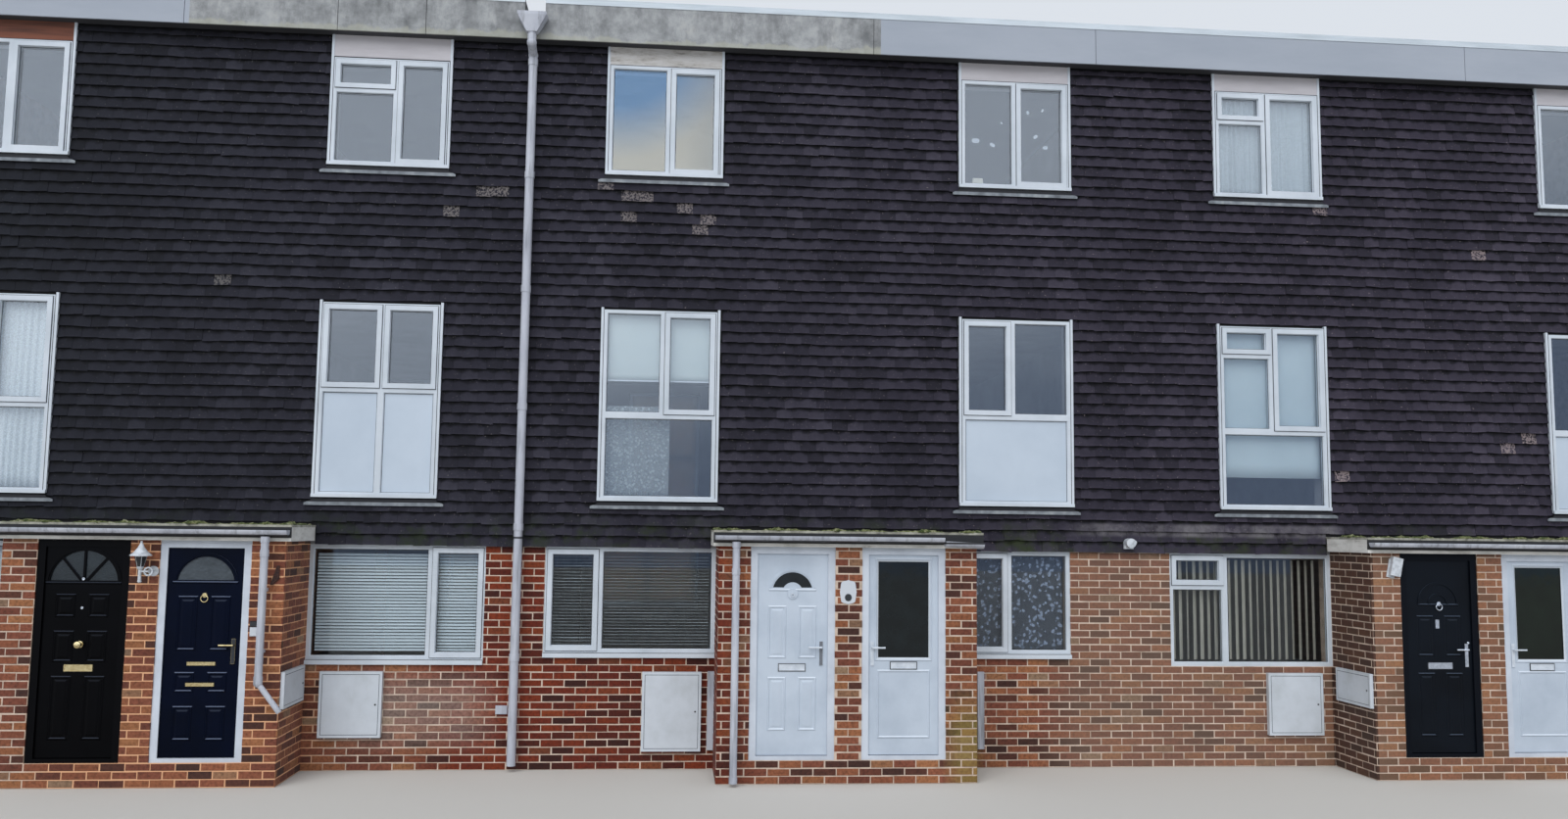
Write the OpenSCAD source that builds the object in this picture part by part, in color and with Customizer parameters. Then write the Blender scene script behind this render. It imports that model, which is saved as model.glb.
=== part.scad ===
// Row of six narrow three-storey terraced houses with a flat roof.
// The ground floor is brick, the two storeys above are hung with plain tiles, and each
// pair of houses shares a flat-roofed brick porch. X runs along the row, the front
// faces -Y, and the origin is on the ground at the middle of the main block.

/* [Row] */
// Width of one house between the middles of its party walls
house_w = 3340; // [3200:10:3500]
// Depth of the main block from front brick face to rear brick face
house_d = 8400; // [7600:50:9200]
// Thickness of the party walls and of the two end walls
party_t = 215; // [200:5:260]
// Thickness of the front and rear walls
wall_t = 250; // [230:5:300]

/* [Levels above the ground] */
// Height of one brick course
course = 75; // [72:0.5:78]
// Brick courses below the door thresholds
threshold_courses = 3; // [2:1:4]
// Brick courses from the ground to the foot of the tile hanging
tile_foot_courses = 30; // [29:1:31]
// Thickness of the ground floor slab
slab_t = 200; // [150:5:220]
// Top of the first floor
first_floor_z = 2625; // [2600:5:2680]
// Top of the second floor
second_floor_z = 5095; // [5000:5:5150]
// Thickness of the upper floors
floor_t = 220; // [200:5:260]
// Underside of the eaves soffit
soffit_z = 7575; // [7540:5:7620]

/* [Tile hanging] */
// Depth of battens and tiles in front of the wall
tile_t = 55; // [45:1:65]

/* [Upper windows] */
// Width of the windows of both upper storeys
upper_window_w = 1195; // [1150:5:1300]
// Distance from the porch party line to the near side of the upper windows
upper_window_u = 1308; // [1240:2:1340]
// Bottom of the first floor windows
first_sill_z = 2735; // [2700:5:2760]
// Top of the first floor windows
first_head_z = 4735; // [4700:5:4800]
// Bottom of the second floor windows
second_sill_z = 6185; // [6150:5:6250]
// Top of the second floor windows, where the head board starts
second_head_z = 7380; // [7340:5:7400]
// Height of the lead apron below each upper window
apron_h = 90; // [70:5:110]
// Thickness of the lead aprons
apron_t = 8; // [5:1:12]
// Overlap of each lead apron past the window sides
apron_lap = 95; // [60:5:130]
// Width of the boards at the sides of the upper windows
cheek_w = 26; // [20:1:32]
// How far those boards rise above the first floor windows
cheek_over = 18; // [10:1:25]
// Height of the board at the foot of an upper window
foot_board_h = 34; // [28:1:36]

/* [Window frames] */
// Depth of the window frames
frame_d = 70; // [60:1:80]
// Face width of the outer window frame
frame_w = 40; // [36:1:60]
// Face width of mullions and transoms
bar_w = 60; // [44:1:70]
// Face width of an opening sash
sash_w = 34; // [28:1:56]
// How far the frames of the upper windows stand in front of the tiles
upper_frame_proud = 8; // [4:1:15]
// How far the ground floor frames are set back behind the brick face
ground_frame_set = 10; // [5:1:40]
// How far an opening sash stands in front of its frame
sash_proud = 14; // [8:1:20]
// Thickness of a sealed double glazing unit
glass_t = 24; // [20:1:28]
// Height of the ground floor window sills
sill_h = 42; // [30:1:55]
// Projection of the ground floor window sills
sill_proud = 38; // [25:1:50]

/* [Porches] */
// Projection of the porches in front of the brick face
porch_d = 800; // [700:10:900]
// Distance from the party line to the outer side of a porch
porch_half = 1282; // [1240:2:1320]
// Thickness of the porch walls
porch_wall_t = 103; // [100:1:115]
// Distance from the party line to the near side of a door frame
door_near = 133; // [120:1:150]
// Width of a front door with its frame
door_frame_w = 837; // [800:1:870]
// Height of a front door with its frame
door_frame_h = 2060; // [2000:5:2080]
// Thickness of a porch roof
porch_roof_t = 135; // [120:5:160]
// Thickness of the drip edge on a porch roof
porch_trim_t = 22; // [16:1:30]
// Overhang of a porch roof past its walls
porch_eave = 40; // [25:1:60]
// Thickness of the porch fascia boards
porch_board_t = 18; // [14:1:25]
// Outer radius of the porch gutters
gutter_r = 56; // [50:1:60]
// Outer radius of the porch downpipes
porch_pipe_r = 36; // [32:1:40]

/* [Doors] */
// Face width of a door frame post
jamb_w = 55; // [45:1:65]
// Height of a door threshold
sill_rail_h = 40; // [30:1:50]
// Thickness of a door leaf
leaf_t = 50; // [44:1:56]
// Width of a raised moulding on a door leaf
bead_w = 24; // [18:1:30]
// Height of the mouldings above a door leaf
bead_t = 7; // [4:1:9]
// Depth of the door stop on the outer side of the frame
stop_t = 14; // [10:1:18]
// How far the door stop laps over the leaf
stop_lap = 9; // [6:1:14]
// Clearance between a leaf and its frame at hinges, top, bottom and stop
leaf_gap = 6; // [5:0.5:8]
// Clearance between a leaf and its frame at the lock side
lock_gap = 9; // [8:0.5:12]
// Radius of a hinge knuckle
knuckle_r = 6.5; // [5:0.5:7]
// Distance of the hinge axis from the inner face of the leaf
hinge_off = 8; // [7.5:0.5:10]
// Height of one hinge knuckle
knuckle_h = 30; // [24:2:40]
// Radius of the hinge pins
pin_r = 4; // [3:0.5:4.5]

/* [Roof] */
// Height of the fascia
fascia_h = 430; // [380:5:460]
// Thickness of the fascia boards
fascia_t = 22; // [18:1:30]
// Overhang of the eaves from the brick face to the outside of the fascia
eave = 195; // [160:5:240]
// Thickness of the roof deck
roof_t = 240; // [200:5:260]
// Thickness of the soffit boards
soffit_t = 12; // [9:1:18]
// Height of the metal roof edge trim
trim_h = 24; // [16:1:32]
// Outer radius of the main downpipe
main_pipe_r = 45; // [40:1:52]

/* [Hidden] */

// Kinds of window light
FIXED = 0;
CASEMENT = 1;
PANEL = 2;

// Colours as the photograph shows them
brick_c = "#8a4a35";
tile_c = "#2b2a2e";
upvc_c = "#dfe6f0";
concrete_c = "#9a968e";
board_c = "#8f918d";
lead_c = "#80868c";
pipe_c = "#b4b9cc";
glass_c = "#3c4750";
brass_c = "#b08d3c";
chrome_c = "#c9ced6";
inner_c = "#c9c2b4";

// Six houses, whose porch party lines lie at the ends of the row's pairs
houses = 6;
last = houses - 1;
front_y = -house_d / 2;
rear_y = house_d / 2;
threshold_z = threshold_courses * course;
tile_foot_z = tile_foot_courses * course;
roof_z = soffit_z + fascia_h - roof_t;
row_half = houses / 2 * house_w + party_t / 2;
tile_y = front_y - tile_t;
porch_y = front_y - porch_d;
eps = 1;

// X of the party line where house i meets its porch, and of the line on its other side
function line_x(j) = (j - houses / 2) * house_w;
function porch_line(i) = line_x(i % 2 == 0 ? i + 1 : i);
function far_line(i) = line_x(i % 2 == 0 ? i : i + 1);
function dir(i) = i % 2 == 0 ? -1 : 1;
// X of a point at distance u from the porch line into house i
function ux(i, u) = porch_line(i) + dir(i) * u;
// Left end in X of a span from u0 to u1 in house i
function left_x(i, u0, u1) = min(ux(i, u0), ux(i, u1));

// Brick between each ground floor window and the far party line, house by house, and the
// far side of the window as a distance from the porch line
ground_pier = [300, 300, 300, 845, 250, 300];
ground_far = [for (p = ground_pier) house_w - p];
// Courses of brick below each ground floor window, and whether it has a sill
dwarf_courses = [15, 14, 15, 15, 14, 15];
has_sill = [1, 1, 1, 1, 0, 1];
ground_head_z = tile_foot_z;
function dwarf_z(i) = dwarf_courses[i] * course;
function ground_sill_z(i) = dwarf_z(i) + has_sill[i] * sill_h;

// Upright slab over a span of house i between two distances from the porch line
module span_box(i, u0, u1, y0, y1, z0, z1) {
    translate([left_x(i, u0, u1), y0, z0]) cube([abs(u1 - u0), y1 - y0, z1 - z0]);
}
// Box between two corners
module box(lo, hi) {
    translate(lo) cube(hi - lo);
}
// Repeats its children at the rear, turned about the row's middle plane
module front_and_rear() {
    children();
    mirror([0, 1, 0]) children();
}

// Ground floor slabs, one inside each house
module ground_slab() {
    color(concrete_c)
        for (i = [0 : last])
            box([line_x(i) + party_t / 2, front_y + wall_t, 0],
                [line_x(i + 1) - party_t / 2, rear_y - wall_t, slab_t]);
}

// Floors of the two upper storeys, one pair in each house
module upper_floors() {
    color(inner_c)
        for (i = [0 : last], top = [first_floor_z, second_floor_z])
            box([line_x(i) + party_t / 2, front_y + wall_t, top - floor_t],
                [line_x(i + 1) - party_t / 2, rear_y - wall_t, top]);
}

// Brick party walls between the houses
module party_walls() {
    color(inner_c)
        for (j = [1 : last])
            box([line_x(j) - party_t / 2, front_y + wall_t, 0],
                [line_x(j) + party_t / 2, rear_y - wall_t, roof_z]);
}

// Plain brick party walls that close the two ends of the row
module end_walls() {
    color(brick_c)
        for (j = [0, houses])
            box([line_x(j) - party_t / 2, front_y, 0],
                [line_x(j) + party_t / 2, rear_y, roof_z]);
}

// Rear ground floor: door by the porch line, then a pier and a window
rear_door_near = 260;
rear_door_far = rear_door_near + door_frame_w;
rear_pier = 300;
rear_window_far = house_w - rear_pier;
rear_dwarf_z = 15 * course;

// Brick piers from the ground to the tile hanging, beside windows and rear doors
module ground_piers() {
    color(brick_c) {
        for (i = [0, last])
            span_box(i, ground_far[i], house_w - party_t / 2, front_y, front_y + wall_t, 0, tile_foot_z);
        for (i = [1 : 2 : last - 1])
            box([ux(i, ground_far[i]), front_y, 0],
                [ux(i + 1, ground_far[i + 1]), front_y + wall_t, tile_foot_z]);
        for (i = [0, last])
            span_box(i, rear_window_far, house_w - party_t / 2, rear_y - wall_t, rear_y, 0, tile_foot_z);
        for (i = [1 : 2 : last - 1])
            box([ux(i, rear_window_far), rear_y - wall_t, 0],
                [ux(i + 1, rear_window_far), rear_y, tile_foot_z]);
        for (i = [0 : 2 : last])
            box([ux(i, rear_door_near), rear_y - wall_t, 0],
                [ux(i + 1, rear_door_near), rear_y, tile_foot_z]);
        for (i = [0 : last])
            span_box(i, rear_door_far, porch_half, rear_y - wall_t, rear_y, 0, tile_foot_z);
    }
}

// Brickwork below the ground floor windows and below the rear doors
module dwarf_walls() {
    color(brick_c)
        for (i = [0 : last]) {
            span_box(i, porch_half, ground_far[i], front_y, front_y + wall_t, 0, dwarf_z(i));
            span_box(i, porch_half, rear_window_far, rear_y - wall_t, rear_y, 0, rear_dwarf_z);
            span_box(i, rear_door_near, rear_door_far, rear_y - wall_t, rear_y, 0, threshold_z);
        }
}

// Wall strips between the columns of upper windows, behind the tiles
upper_window_far = upper_window_u + upper_window_w;
module upper_posts() {
    color(inner_c)
        front_and_rear() {
            for (i = [0 : 2 : last])
                box([ux(i, upper_window_u), front_y, tile_foot_z],
                    [ux(i + 1, upper_window_u), front_y + wall_t, roof_z]);
            for (i = [1 : 2 : last - 1])
                box([ux(i, upper_window_far), front_y, tile_foot_z],
                    [ux(i + 1, upper_window_far), front_y + wall_t, roof_z]);
            for (i = [0, last])
                span_box(i, upper_window_far, house_w - party_t / 2, front_y, front_y + wall_t,
                         tile_foot_z, roof_z);
        }
}

// Wall below, between and above the upper windows, behind the tiles
module upper_spandrels() {
    color(inner_c)
        front_and_rear()
            for (i = [0 : last], z = [[tile_foot_z, first_sill_z], [first_head_z, second_sill_z],
                                      [second_head_z, roof_z]])
                span_box(i, upper_window_u, upper_window_far, front_y, front_y + wall_t, z[0], z[1]);
}

// Skin of battens and plain tiles on the front and rear of both upper storeys
porch_roof_z = threshold_z + door_frame_h;
porch_top_z = porch_roof_z + porch_roof_t + porch_trim_t;
module tile_skin() {
    difference() {
        box([-row_half, tile_y, tile_foot_z], [row_half, front_y, soffit_z]);
        for (i = [0 : last], z = [[first_sill_z, first_head_z], [second_sill_z, soffit_z + eps]]) {
            span_box(i, upper_window_u, upper_window_far, tile_y - eps, front_y + eps, z[0], z[1]);
            for (u = [upper_window_u - cheek_w, upper_window_far])
                span_box(i, u, u + cheek_w, tile_y - eps, front_y + eps, z[0], z[1] + cheek_over);
        }
        children();
    }
}
module tile_hanging() {
    color(tile_c) {
        tile_skin()
            for (i = [0 : 2 : last])
                translate([porch_line(i), 0, 0])
                    box([-porch_half - porch_eave - porch_board_t, tile_y - eps, tile_foot_z - eps],
                        [porch_half + porch_eave + porch_board_t, front_y + eps, porch_top_z]);
        mirror([0, 1, 0]) tile_skin();
    }
}

// Flat roof deck over the whole row, with an outlet cut down to the hopper head
hopper_x = line_x(2) + 30;
hopper_gap = 215;
hopper_gap_x = hopper_x + 15;
hopper_sink = 200;
hopper_top_z = soffit_z + fascia_h - hopper_sink;
outlet_l = 470;
module outlet_cut() {
    box([hopper_gap_x - hopper_gap / 2, front_y - eave - hopper_gap, hopper_top_z],
        [hopper_gap_x + hopper_gap / 2, front_y - eave + outlet_l, soffit_z + fascia_h + trim_h + eps]);
}
module roof_deck() {
    color(concrete_c)
        difference() {
            box([-row_half, front_y - eave + fascia_t, roof_z],
                [row_half, rear_y + eave - fascia_t, soffit_z + fascia_h]);
            outlet_cut();
        }
}

// Pressed metal trim round the edge of the roof, open at the outlet
trim_lap = 6;
trim_drop = 40;
trim_in = 60;
module roof_trim() {
    color("#c5cdd0")
        difference() {
            box([-row_half - trim_lap, front_y - eave - trim_lap, soffit_z + fascia_h - trim_drop],
                [row_half + trim_lap, rear_y + eave + trim_lap, soffit_z + fascia_h + trim_h]);
            box([-row_half, front_y - eave, soffit_z + fascia_h - trim_drop - eps],
                [row_half, rear_y + eave, soffit_z + fascia_h]);
            box([-row_half + trim_in, front_y - eave + trim_in, soffit_z],
                [row_half - trim_in, rear_y + eave - trim_in, soffit_z + fascia_h + trim_h + eps]);
            outlet_cut();
        }
}

// Fascia boards, laid end to end with narrow joints and notched above the hopper head
board_gap = 6;
front_joints = [line_x(1) - 178, line_x(1) + 1361, line_x(2) - 1079, hopper_gap_x, line_x(3) + 319,
                line_x(4) - 561, line_x(5) + 370];
module fascia_run(joints) {
    ends = concat([-row_half], joints, [row_half]);
    n = len(ends) - 1;
    for (k = [0 : n - 1])
        box([ends[k] + (k == 0 ? 0 : board_gap / 2), front_y - eave, soffit_z],
            [ends[k + 1] - (k == n - 1 ? 0 : board_gap / 2), front_y - eave + fascia_t,
             soffit_z + fascia_h]);
    // Returns that close the ends of the eaves
    for (s = [-1, 1])
        translate([s * (row_half - fascia_t / 2), 0, 0])
            box([-fascia_t / 2, front_y - eave + fascia_t - eps, soffit_z], [fascia_t / 2, front_y, roof_z]);
}
module fascias() {
    color(board_c) {
        difference() {
            fascia_run(front_joints);
            outlet_cut();
        }
        mirror([0, 1, 0]) fascia_run([for (j = [1 : last]) line_x(j)]);
    }
}

// Soffit boards between the tiles and the fascia
module soffits() {
    color("#6d7176")
        front_and_rear()
            box([-row_half + fascia_t, front_y - eave + fascia_t, soffit_z],
                [row_half - fascia_t, front_y, soffit_z + soffit_t]);
}

// Boards between the second floor windows and the soffit, and how much further down the
// board of each front window reaches
board_proud = 2;
second_drop = [0, 45, 0, 0, 0, 0];
module head_board(i, z) {
    span_box(i, upper_window_u, upper_window_far, tile_y - board_proud, front_y, z, soffit_z);
}
module head_boards() {
    color("#c9c7c0")
        for (i = [0 : last]) {
            head_board(i, second_head_z - second_drop[i]);
            mirror([0, 1, 0]) head_board(i, second_head_z);
        }
}

// Lead aprons below the upper windows: as wide as the window at the top, with shoulders
// that slope out to tails over the tiles beside it
apron_drop = 22;
apron_tail_h = 24;
apron_neck_h = 52;
module apron() {
    w = upper_window_w;
    translate([0, apron_t, 0]) rotate([90, 0, 0])
        linear_extrude(apron_t)
            polygon([[-apron_lap, 0], [w + apron_lap, 0], [w + apron_lap, apron_tail_h],
                     [w + cheek_w, apron_neck_h], [w + cheek_w, apron_h - apron_drop],
                     [-cheek_w, apron_h - apron_drop], [-cheek_w, apron_neck_h], [-apron_lap, apron_tail_h]]);
}
module lead_aprons() {
    color(lead_c)
        front_and_rear()
            for (i = [0 : last], z = [first_sill_z, second_sill_z])
                translate([left_x(i, upper_window_u, upper_window_far), tile_y - apron_t, z - apron_h])
                    apron();
}

// Lights of a window as [x0, x1, z0, z1, kind], each the clear rectangle inside the bars.
// m is the mullion's middle from the left, t the middle of a transom above the sill
// (0 for none), and top the height of small lights above the left column (0 for none).
function col(x0, x1, z0, z1, kind) = [x0, x1, z0, z1, kind];
function upper_part(w, h, m, z0, left, right, top) =
    let (f = frame_w, b = bar_w / 2)
    top == 0
        ? [col(f, m - b, z0, h - f, left), col(m + b, w - f, z0, h - f, right)]
        : [col(f, m - b, z0, h - f - top - bar_w, left), col(f, m - b, h - f - top, h - f, CASEMENT),
           col(m + b, w - f, z0, h - f, right)];
function window_lights(w, h, m, t, left, right, top, low) =
    let (f = frame_w, b = bar_w / 2)
    concat(upper_part(w, h, m, t == 0 ? f : t + b, left, right, top),
           t == 0 ? [] :
           len(low) == 1 ? [col(f, w - f, f, t - b, low[0])] :
                           [col(f, m - b, f, t - b, low[0]), col(m + b, w - f, f, t - b, low[1])]);

// Frame of one window at the origin, with proud sashes round the casements
module window_frame(w, h, lights) {
    difference() {
        union() {
            box([0, 0, 0], [w, frame_d, h]);
            for (l = lights)
                if (l[4] == CASEMENT)
                    box([l[0] - bar_w / 4, -sash_proud, l[2] - bar_w / 4],
                        [l[1] + bar_w / 4, eps, l[3] + bar_w / 4]);
        }
        for (l = lights) {
            s = l[4] == CASEMENT ? sash_w : 0;
            box([l[0] + s, -sash_proud - eps, l[2] + s], [l[1] - s, frame_d + eps, l[3] - s]);
        }
    }
}
// Side boards and foot board of an upper window, flush with and in front of its frame
foot_proud = 16;
foot_drop = 8;
module window_trim(w, h, rise) {
    for (x = [-cheek_w, w])
        box([x, 0, 0], [x + cheek_w, upper_frame_proud + tile_t, h + rise]);
    box([-cheek_w, -foot_proud, -foot_drop], [w + cheek_w, 0, foot_board_h - foot_drop]);
}
// Glass or solid panels of one window, seated in the middle of the frame's depth
module window_infill(lights, panels) {
    for (l = lights)
        if ((l[4] == PANEL) == panels) {
            s = l[4] == CASEMENT ? sash_w : 0;
            box([l[0] + s, (frame_d - glass_t) / 2, l[2] + s],
                [l[1] - s, (frame_d + glass_t) / 2, l[3] - s]);
        }
}

rear_second_h = second_head_z - second_sill_z;
function second_h(i) = rear_second_h - second_drop[i];
first_h = first_head_z - first_sill_z;
// Second floor windows, house by house: [mullion, left kind, right kind, top light height]
second_lights = [[600, FIXED, CASEMENT, 0], [655, FIXED, CASEMENT, 275], [640, FIXED, CASEMENT, 0],
                 [595, FIXED, CASEMENT, 0], [565, FIXED, CASEMENT, 270], [600, FIXED, CASEMENT, 0]];
// First floor windows: [mullion, transom, left kind, right kind, top light height, lower kinds]
first_lights = [[605, 885, FIXED, CASEMENT, 0, [FIXED]], [622, 1100, CASEMENT, CASEMENT, 0, [PANEL, PANEL]],
                [630, 885, FIXED, CASEMENT, 0, [FIXED]], [551, 945, CASEMENT, FIXED, 0, [PANEL]],
                [583, 838, FIXED, CASEMENT, 255, [FIXED]], [600, 885, FIXED, CASEMENT, 0, [PANEL]]];
// Ground floor windows: [mullion from the left, left kind, right kind, top light height]
ground_lights = [[570, CASEMENT, FIXED, 0], [1210, FIXED, CASEMENT, 0], [560, CASEMENT, FIXED, 0],
                 [545, CASEMENT, FIXED, 0], [615, FIXED, FIXED, 285], [1200, FIXED, CASEMENT, 0]];

function second_list(i) =
    let (s = second_lights[i])
    window_lights(upper_window_w, second_h(i), s[0], 0, s[1], s[2], s[3], []);
function first_list(i) =
    let (s = first_lights[i])
    window_lights(upper_window_w, first_h, s[0], s[1], s[2], s[3], s[4], s[5]);
function ground_w(i) = ground_far[i] - porch_half;
function ground_list(i) =
    let (s = ground_lights[i])
    window_lights(ground_w(i), ground_head_z - ground_sill_z(i), s[0], 0, s[1], s[2], s[3], []);
// The rear windows are plain two-light ones
function rear_list(w, h) = window_lights(w, h, w / 2, 0, FIXED, CASEMENT, 0, []);
function rear_tall_list(w, h) = window_lights(w, h, w / 2, h * 0.45, FIXED, CASEMENT, 0, [FIXED]);
rear_ground_w = rear_window_far - porch_half;
rear_sill_z = rear_dwarf_z + sill_h;

upper_frame_y = tile_y - upper_frame_proud;
ground_frame_y = front_y + ground_frame_set;

// Places a window at the near side of house i
module at_second(i) {
    translate([left_x(i, upper_window_u, upper_window_far), upper_frame_y, second_sill_z]) children();
}
module at_first(i) {
    translate([left_x(i, upper_window_u, upper_window_far), upper_frame_y, first_sill_z]) children();
}
module at_ground(i) {
    translate([left_x(i, porch_half, ground_far[i]), ground_frame_y, ground_sill_z(i)]) children();
}
module at_rear_ground(i) {
    mirror([0, 1, 0])
        translate([left_x(i, porch_half, rear_window_far), ground_frame_y, rear_sill_z]) children();
}

// White plastic window frames, storey by storey, front and rear
module window_frames_second() {
    color(upvc_c)
        for (i = [0 : last]) {
            at_second(i) window_frame(upper_window_w, second_h(i), second_list(i));
            mirror([0, 1, 0]) at_second(i)
                window_frame(upper_window_w, rear_second_h, rear_list(upper_window_w, rear_second_h));
            front_and_rear() at_second(i)
                window_trim(upper_window_w, soffit_z - second_sill_z, 0);
        }
}
module window_frames_first() {
    color(upvc_c)
        for (i = [0 : last]) {
            at_first(i) window_frame(upper_window_w, first_h, first_list(i));
            mirror([0, 1, 0]) at_first(i)
                window_frame(upper_window_w, first_h, rear_tall_list(upper_window_w, first_h));
            front_and_rear() at_first(i) window_trim(upper_window_w, first_h, cheek_over);
        }
}
module window_frames_ground() {
    color(upvc_c)
        for (i = [0 : last]) {
            at_ground(i) window_frame(ground_w(i), ground_head_z - ground_sill_z(i), ground_list(i));
            at_rear_ground(i)
                window_frame(rear_ground_w, ground_head_z - rear_sill_z,
                             rear_list(rear_ground_w, ground_head_z - rear_sill_z));
        }
}

// Every pane of the front and rear windows
module window_glass() {
    color(glass_c)
        for (i = [0 : last]) {
            at_second(i) window_infill(second_list(i), false);
            at_first(i) window_infill(first_list(i), false);
            at_ground(i) window_infill(ground_list(i), false);
            mirror([0, 1, 0]) at_second(i)
                window_infill(rear_list(upper_window_w, rear_second_h), false);
            mirror([0, 1, 0]) at_first(i)
                window_infill(rear_tall_list(upper_window_w, first_h), false);
            at_rear_ground(i)
                window_infill(rear_list(rear_ground_w, ground_head_z - rear_sill_z), false);
        }
}

// White panels that fill the lower lights of some first floor windows
module window_panels() {
    color("#e6eaf2")
        for (i = [0 : last])
            at_first(i) window_infill(first_list(i), true);
}

// Plastic sills of the ground floor windows
module sill_bar(w) {
    box([0, -sill_proud - ground_frame_set, -sill_h], [w, frame_d, 0]);
}
module window_sills() {
    color(upvc_c)
        for (i = [0 : last]) {
            if (has_sill[i])
                at_ground(i) sill_bar(ground_w(i));
            at_rear_ground(i) sill_bar(rear_ground_w);
        }
}

// Plain back doors with their frames, shut for good
module rear_doors() {
    color(upvc_c)
        for (i = [0 : last])
            mirror([0, 1, 0])
                translate([left_x(i, rear_door_near, rear_door_far), ground_frame_y, threshold_z])
                    difference() {
                        box([0, 0, 0], [door_frame_w, jamb_d, tile_foot_z - threshold_z]);
                        box([jamb_w, -eps, jamb_w],
                            [door_frame_w - jamb_w, door_set, tile_foot_z - threshold_z - jamb_w]);
                    }
}

// Side walls of the porches, and the party wall that runs on between the two lobbies
module porch_walls() {
    color(brick_c) {
        for (i = [0 : last]) {
            span_box(i, porch_half - porch_wall_t, porch_half, porch_y + porch_wall_t, front_y,
                     0, porch_roof_z);
            span_box(i, porch_half - porch_wall_t, porch_half, front_y - eps, front_y + wall_t,
                     0, tile_foot_z);
        }
        for (i = [0 : 2 : last])
            translate([porch_line(i), 0, 0]) {
                box([-party_t / 2, porch_y + porch_wall_t, 0], [party_t / 2, front_y, porch_roof_z]);
                box([-party_t / 2, front_y - eps, 0], [party_t / 2, front_y + wall_t, tile_foot_z]);
            }
    }
}

// Brick piers beside the front doors
module porch_front_piers() {
    color(brick_c) {
        for (i = [0 : last])
            span_box(i, door_near + door_frame_w, porch_half, porch_y, porch_y + porch_wall_t,
                     0, porch_roof_z);
        for (i = [0 : 2 : last])
            box([porch_line(i) - door_near, porch_y, 0],
                [porch_line(i) + door_near, porch_y + porch_wall_t, porch_roof_z]);
    }
}

// Brick steps below the front doors
module door_steps() {
    color(brick_c)
        for (i = [0 : last])
            span_box(i, door_near, door_near + door_frame_w, porch_y, porch_y + porch_wall_t,
                     0, threshold_z);
}

// Floors of the lobbies inside the porches
module porch_floors() {
    color(concrete_c)
        for (i = [0 : last])
            span_box(i, party_t / 2, porch_half - porch_wall_t, porch_y + porch_wall_t,
                     front_y + wall_t, 0, slab_t);
}

// Flat porch roofs, with a drip edge that stands out all round
module porch_roofs() {
    color("#8c8f86")
        for (i = [0 : 2 : last])
            translate([porch_line(i), 0, 0]) {
                box([-porch_half - porch_eave, porch_y - porch_eave, porch_roof_z],
                    [porch_half + porch_eave, front_y, porch_roof_z + porch_roof_t]);
                box([-porch_half - porch_eave - porch_board_t, porch_y - porch_eave - porch_board_t,
                     porch_roof_z + porch_roof_t],
                    [porch_half + porch_eave + porch_board_t, front_y, porch_top_z]);
            }
}

// Boards round the three free sides of each porch roof
module porch_fascias() {
    color("#d8d6cc")
        for (i = [0 : 2 : last])
            translate([porch_line(i), 0, 0])
                difference() {
                    box([-porch_half - porch_eave - porch_board_t, porch_y - porch_eave - porch_board_t,
                         porch_roof_z],
                        [porch_half + porch_eave + porch_board_t, tile_y, porch_roof_z + porch_roof_t]);
                    box([-porch_half - porch_eave, porch_y - porch_eave, porch_roof_z - eps],
                        [porch_half + porch_eave, front_y, porch_roof_z + porch_roof_t + eps]);
                }
}

// Half-round gutters below the drip edge at the front of each porch, with closed ends and
// sleeves. The right end of the middle one has slipped down the board.
gutter_t = 3;
gutter_over = 45;
gutter_y = porch_y - porch_eave - porch_board_t - gutter_r;
gutter_up = 105;
gutter_z = porch_roof_z + gutter_up;
gutter_end = porch_half + gutter_over;
sleeve_w = 55;
sleeve_u = [-900, -300, 330];
slip_u = 930;
slip_gap = 12;
slip_drop = 34;
slip_tilt = 2;
pipe_side = [1, -1, 1];
pipe_u = 1120;
module gutter_profile(r) {
    intersection() {
        circle(r, $fn = 48);
        translate([-r - eps, -r - eps]) square([r + eps + gutter_r, r + eps]);
    }
}
// Gutter from x0 to x1, with sleeves and outlets where they are named
module gutter_run(x0, x1, sleeves, outlets) {
    difference() {
        union() {
            translate([x0, 0, 0]) rotate([90, 0, 90]) linear_extrude(x1 - x0) gutter_profile(gutter_r);
            for (x = sleeves)
                translate([x, 0, 0]) rotate([90, 0, 90])
                    linear_extrude(sleeve_w) gutter_profile(gutter_r + gutter_t);
        }
        translate([x0 + gutter_t, 0, 0]) rotate([0, 90, 0])
            cylinder(h = x1 - x0 - 2 * gutter_t, r = gutter_r - gutter_t, $fn = 48);
        for (x = outlets)
            translate([x, 0, -gutter_r - eps])
                cylinder(h = gutter_r, r = porch_pipe_r - gutter_t, $fn = 32);
    }
}
module porch_gutters() {
    color(pipe_c)
        for (k = [0 : 2])
            translate([line_x(2 * k + 1), gutter_y, gutter_z]) {
                gutter_run(-gutter_end, k == 1 ? slip_u : gutter_end, sleeve_u, [pipe_side[k] * pipe_u]);
                if (k == 1)
                    translate([slip_u + slip_gap, 0, -slip_drop]) rotate([0, slip_tilt, 0])
                        gutter_run(0, gutter_end - slip_u - slip_gap, [], []);
            }
}

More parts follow.
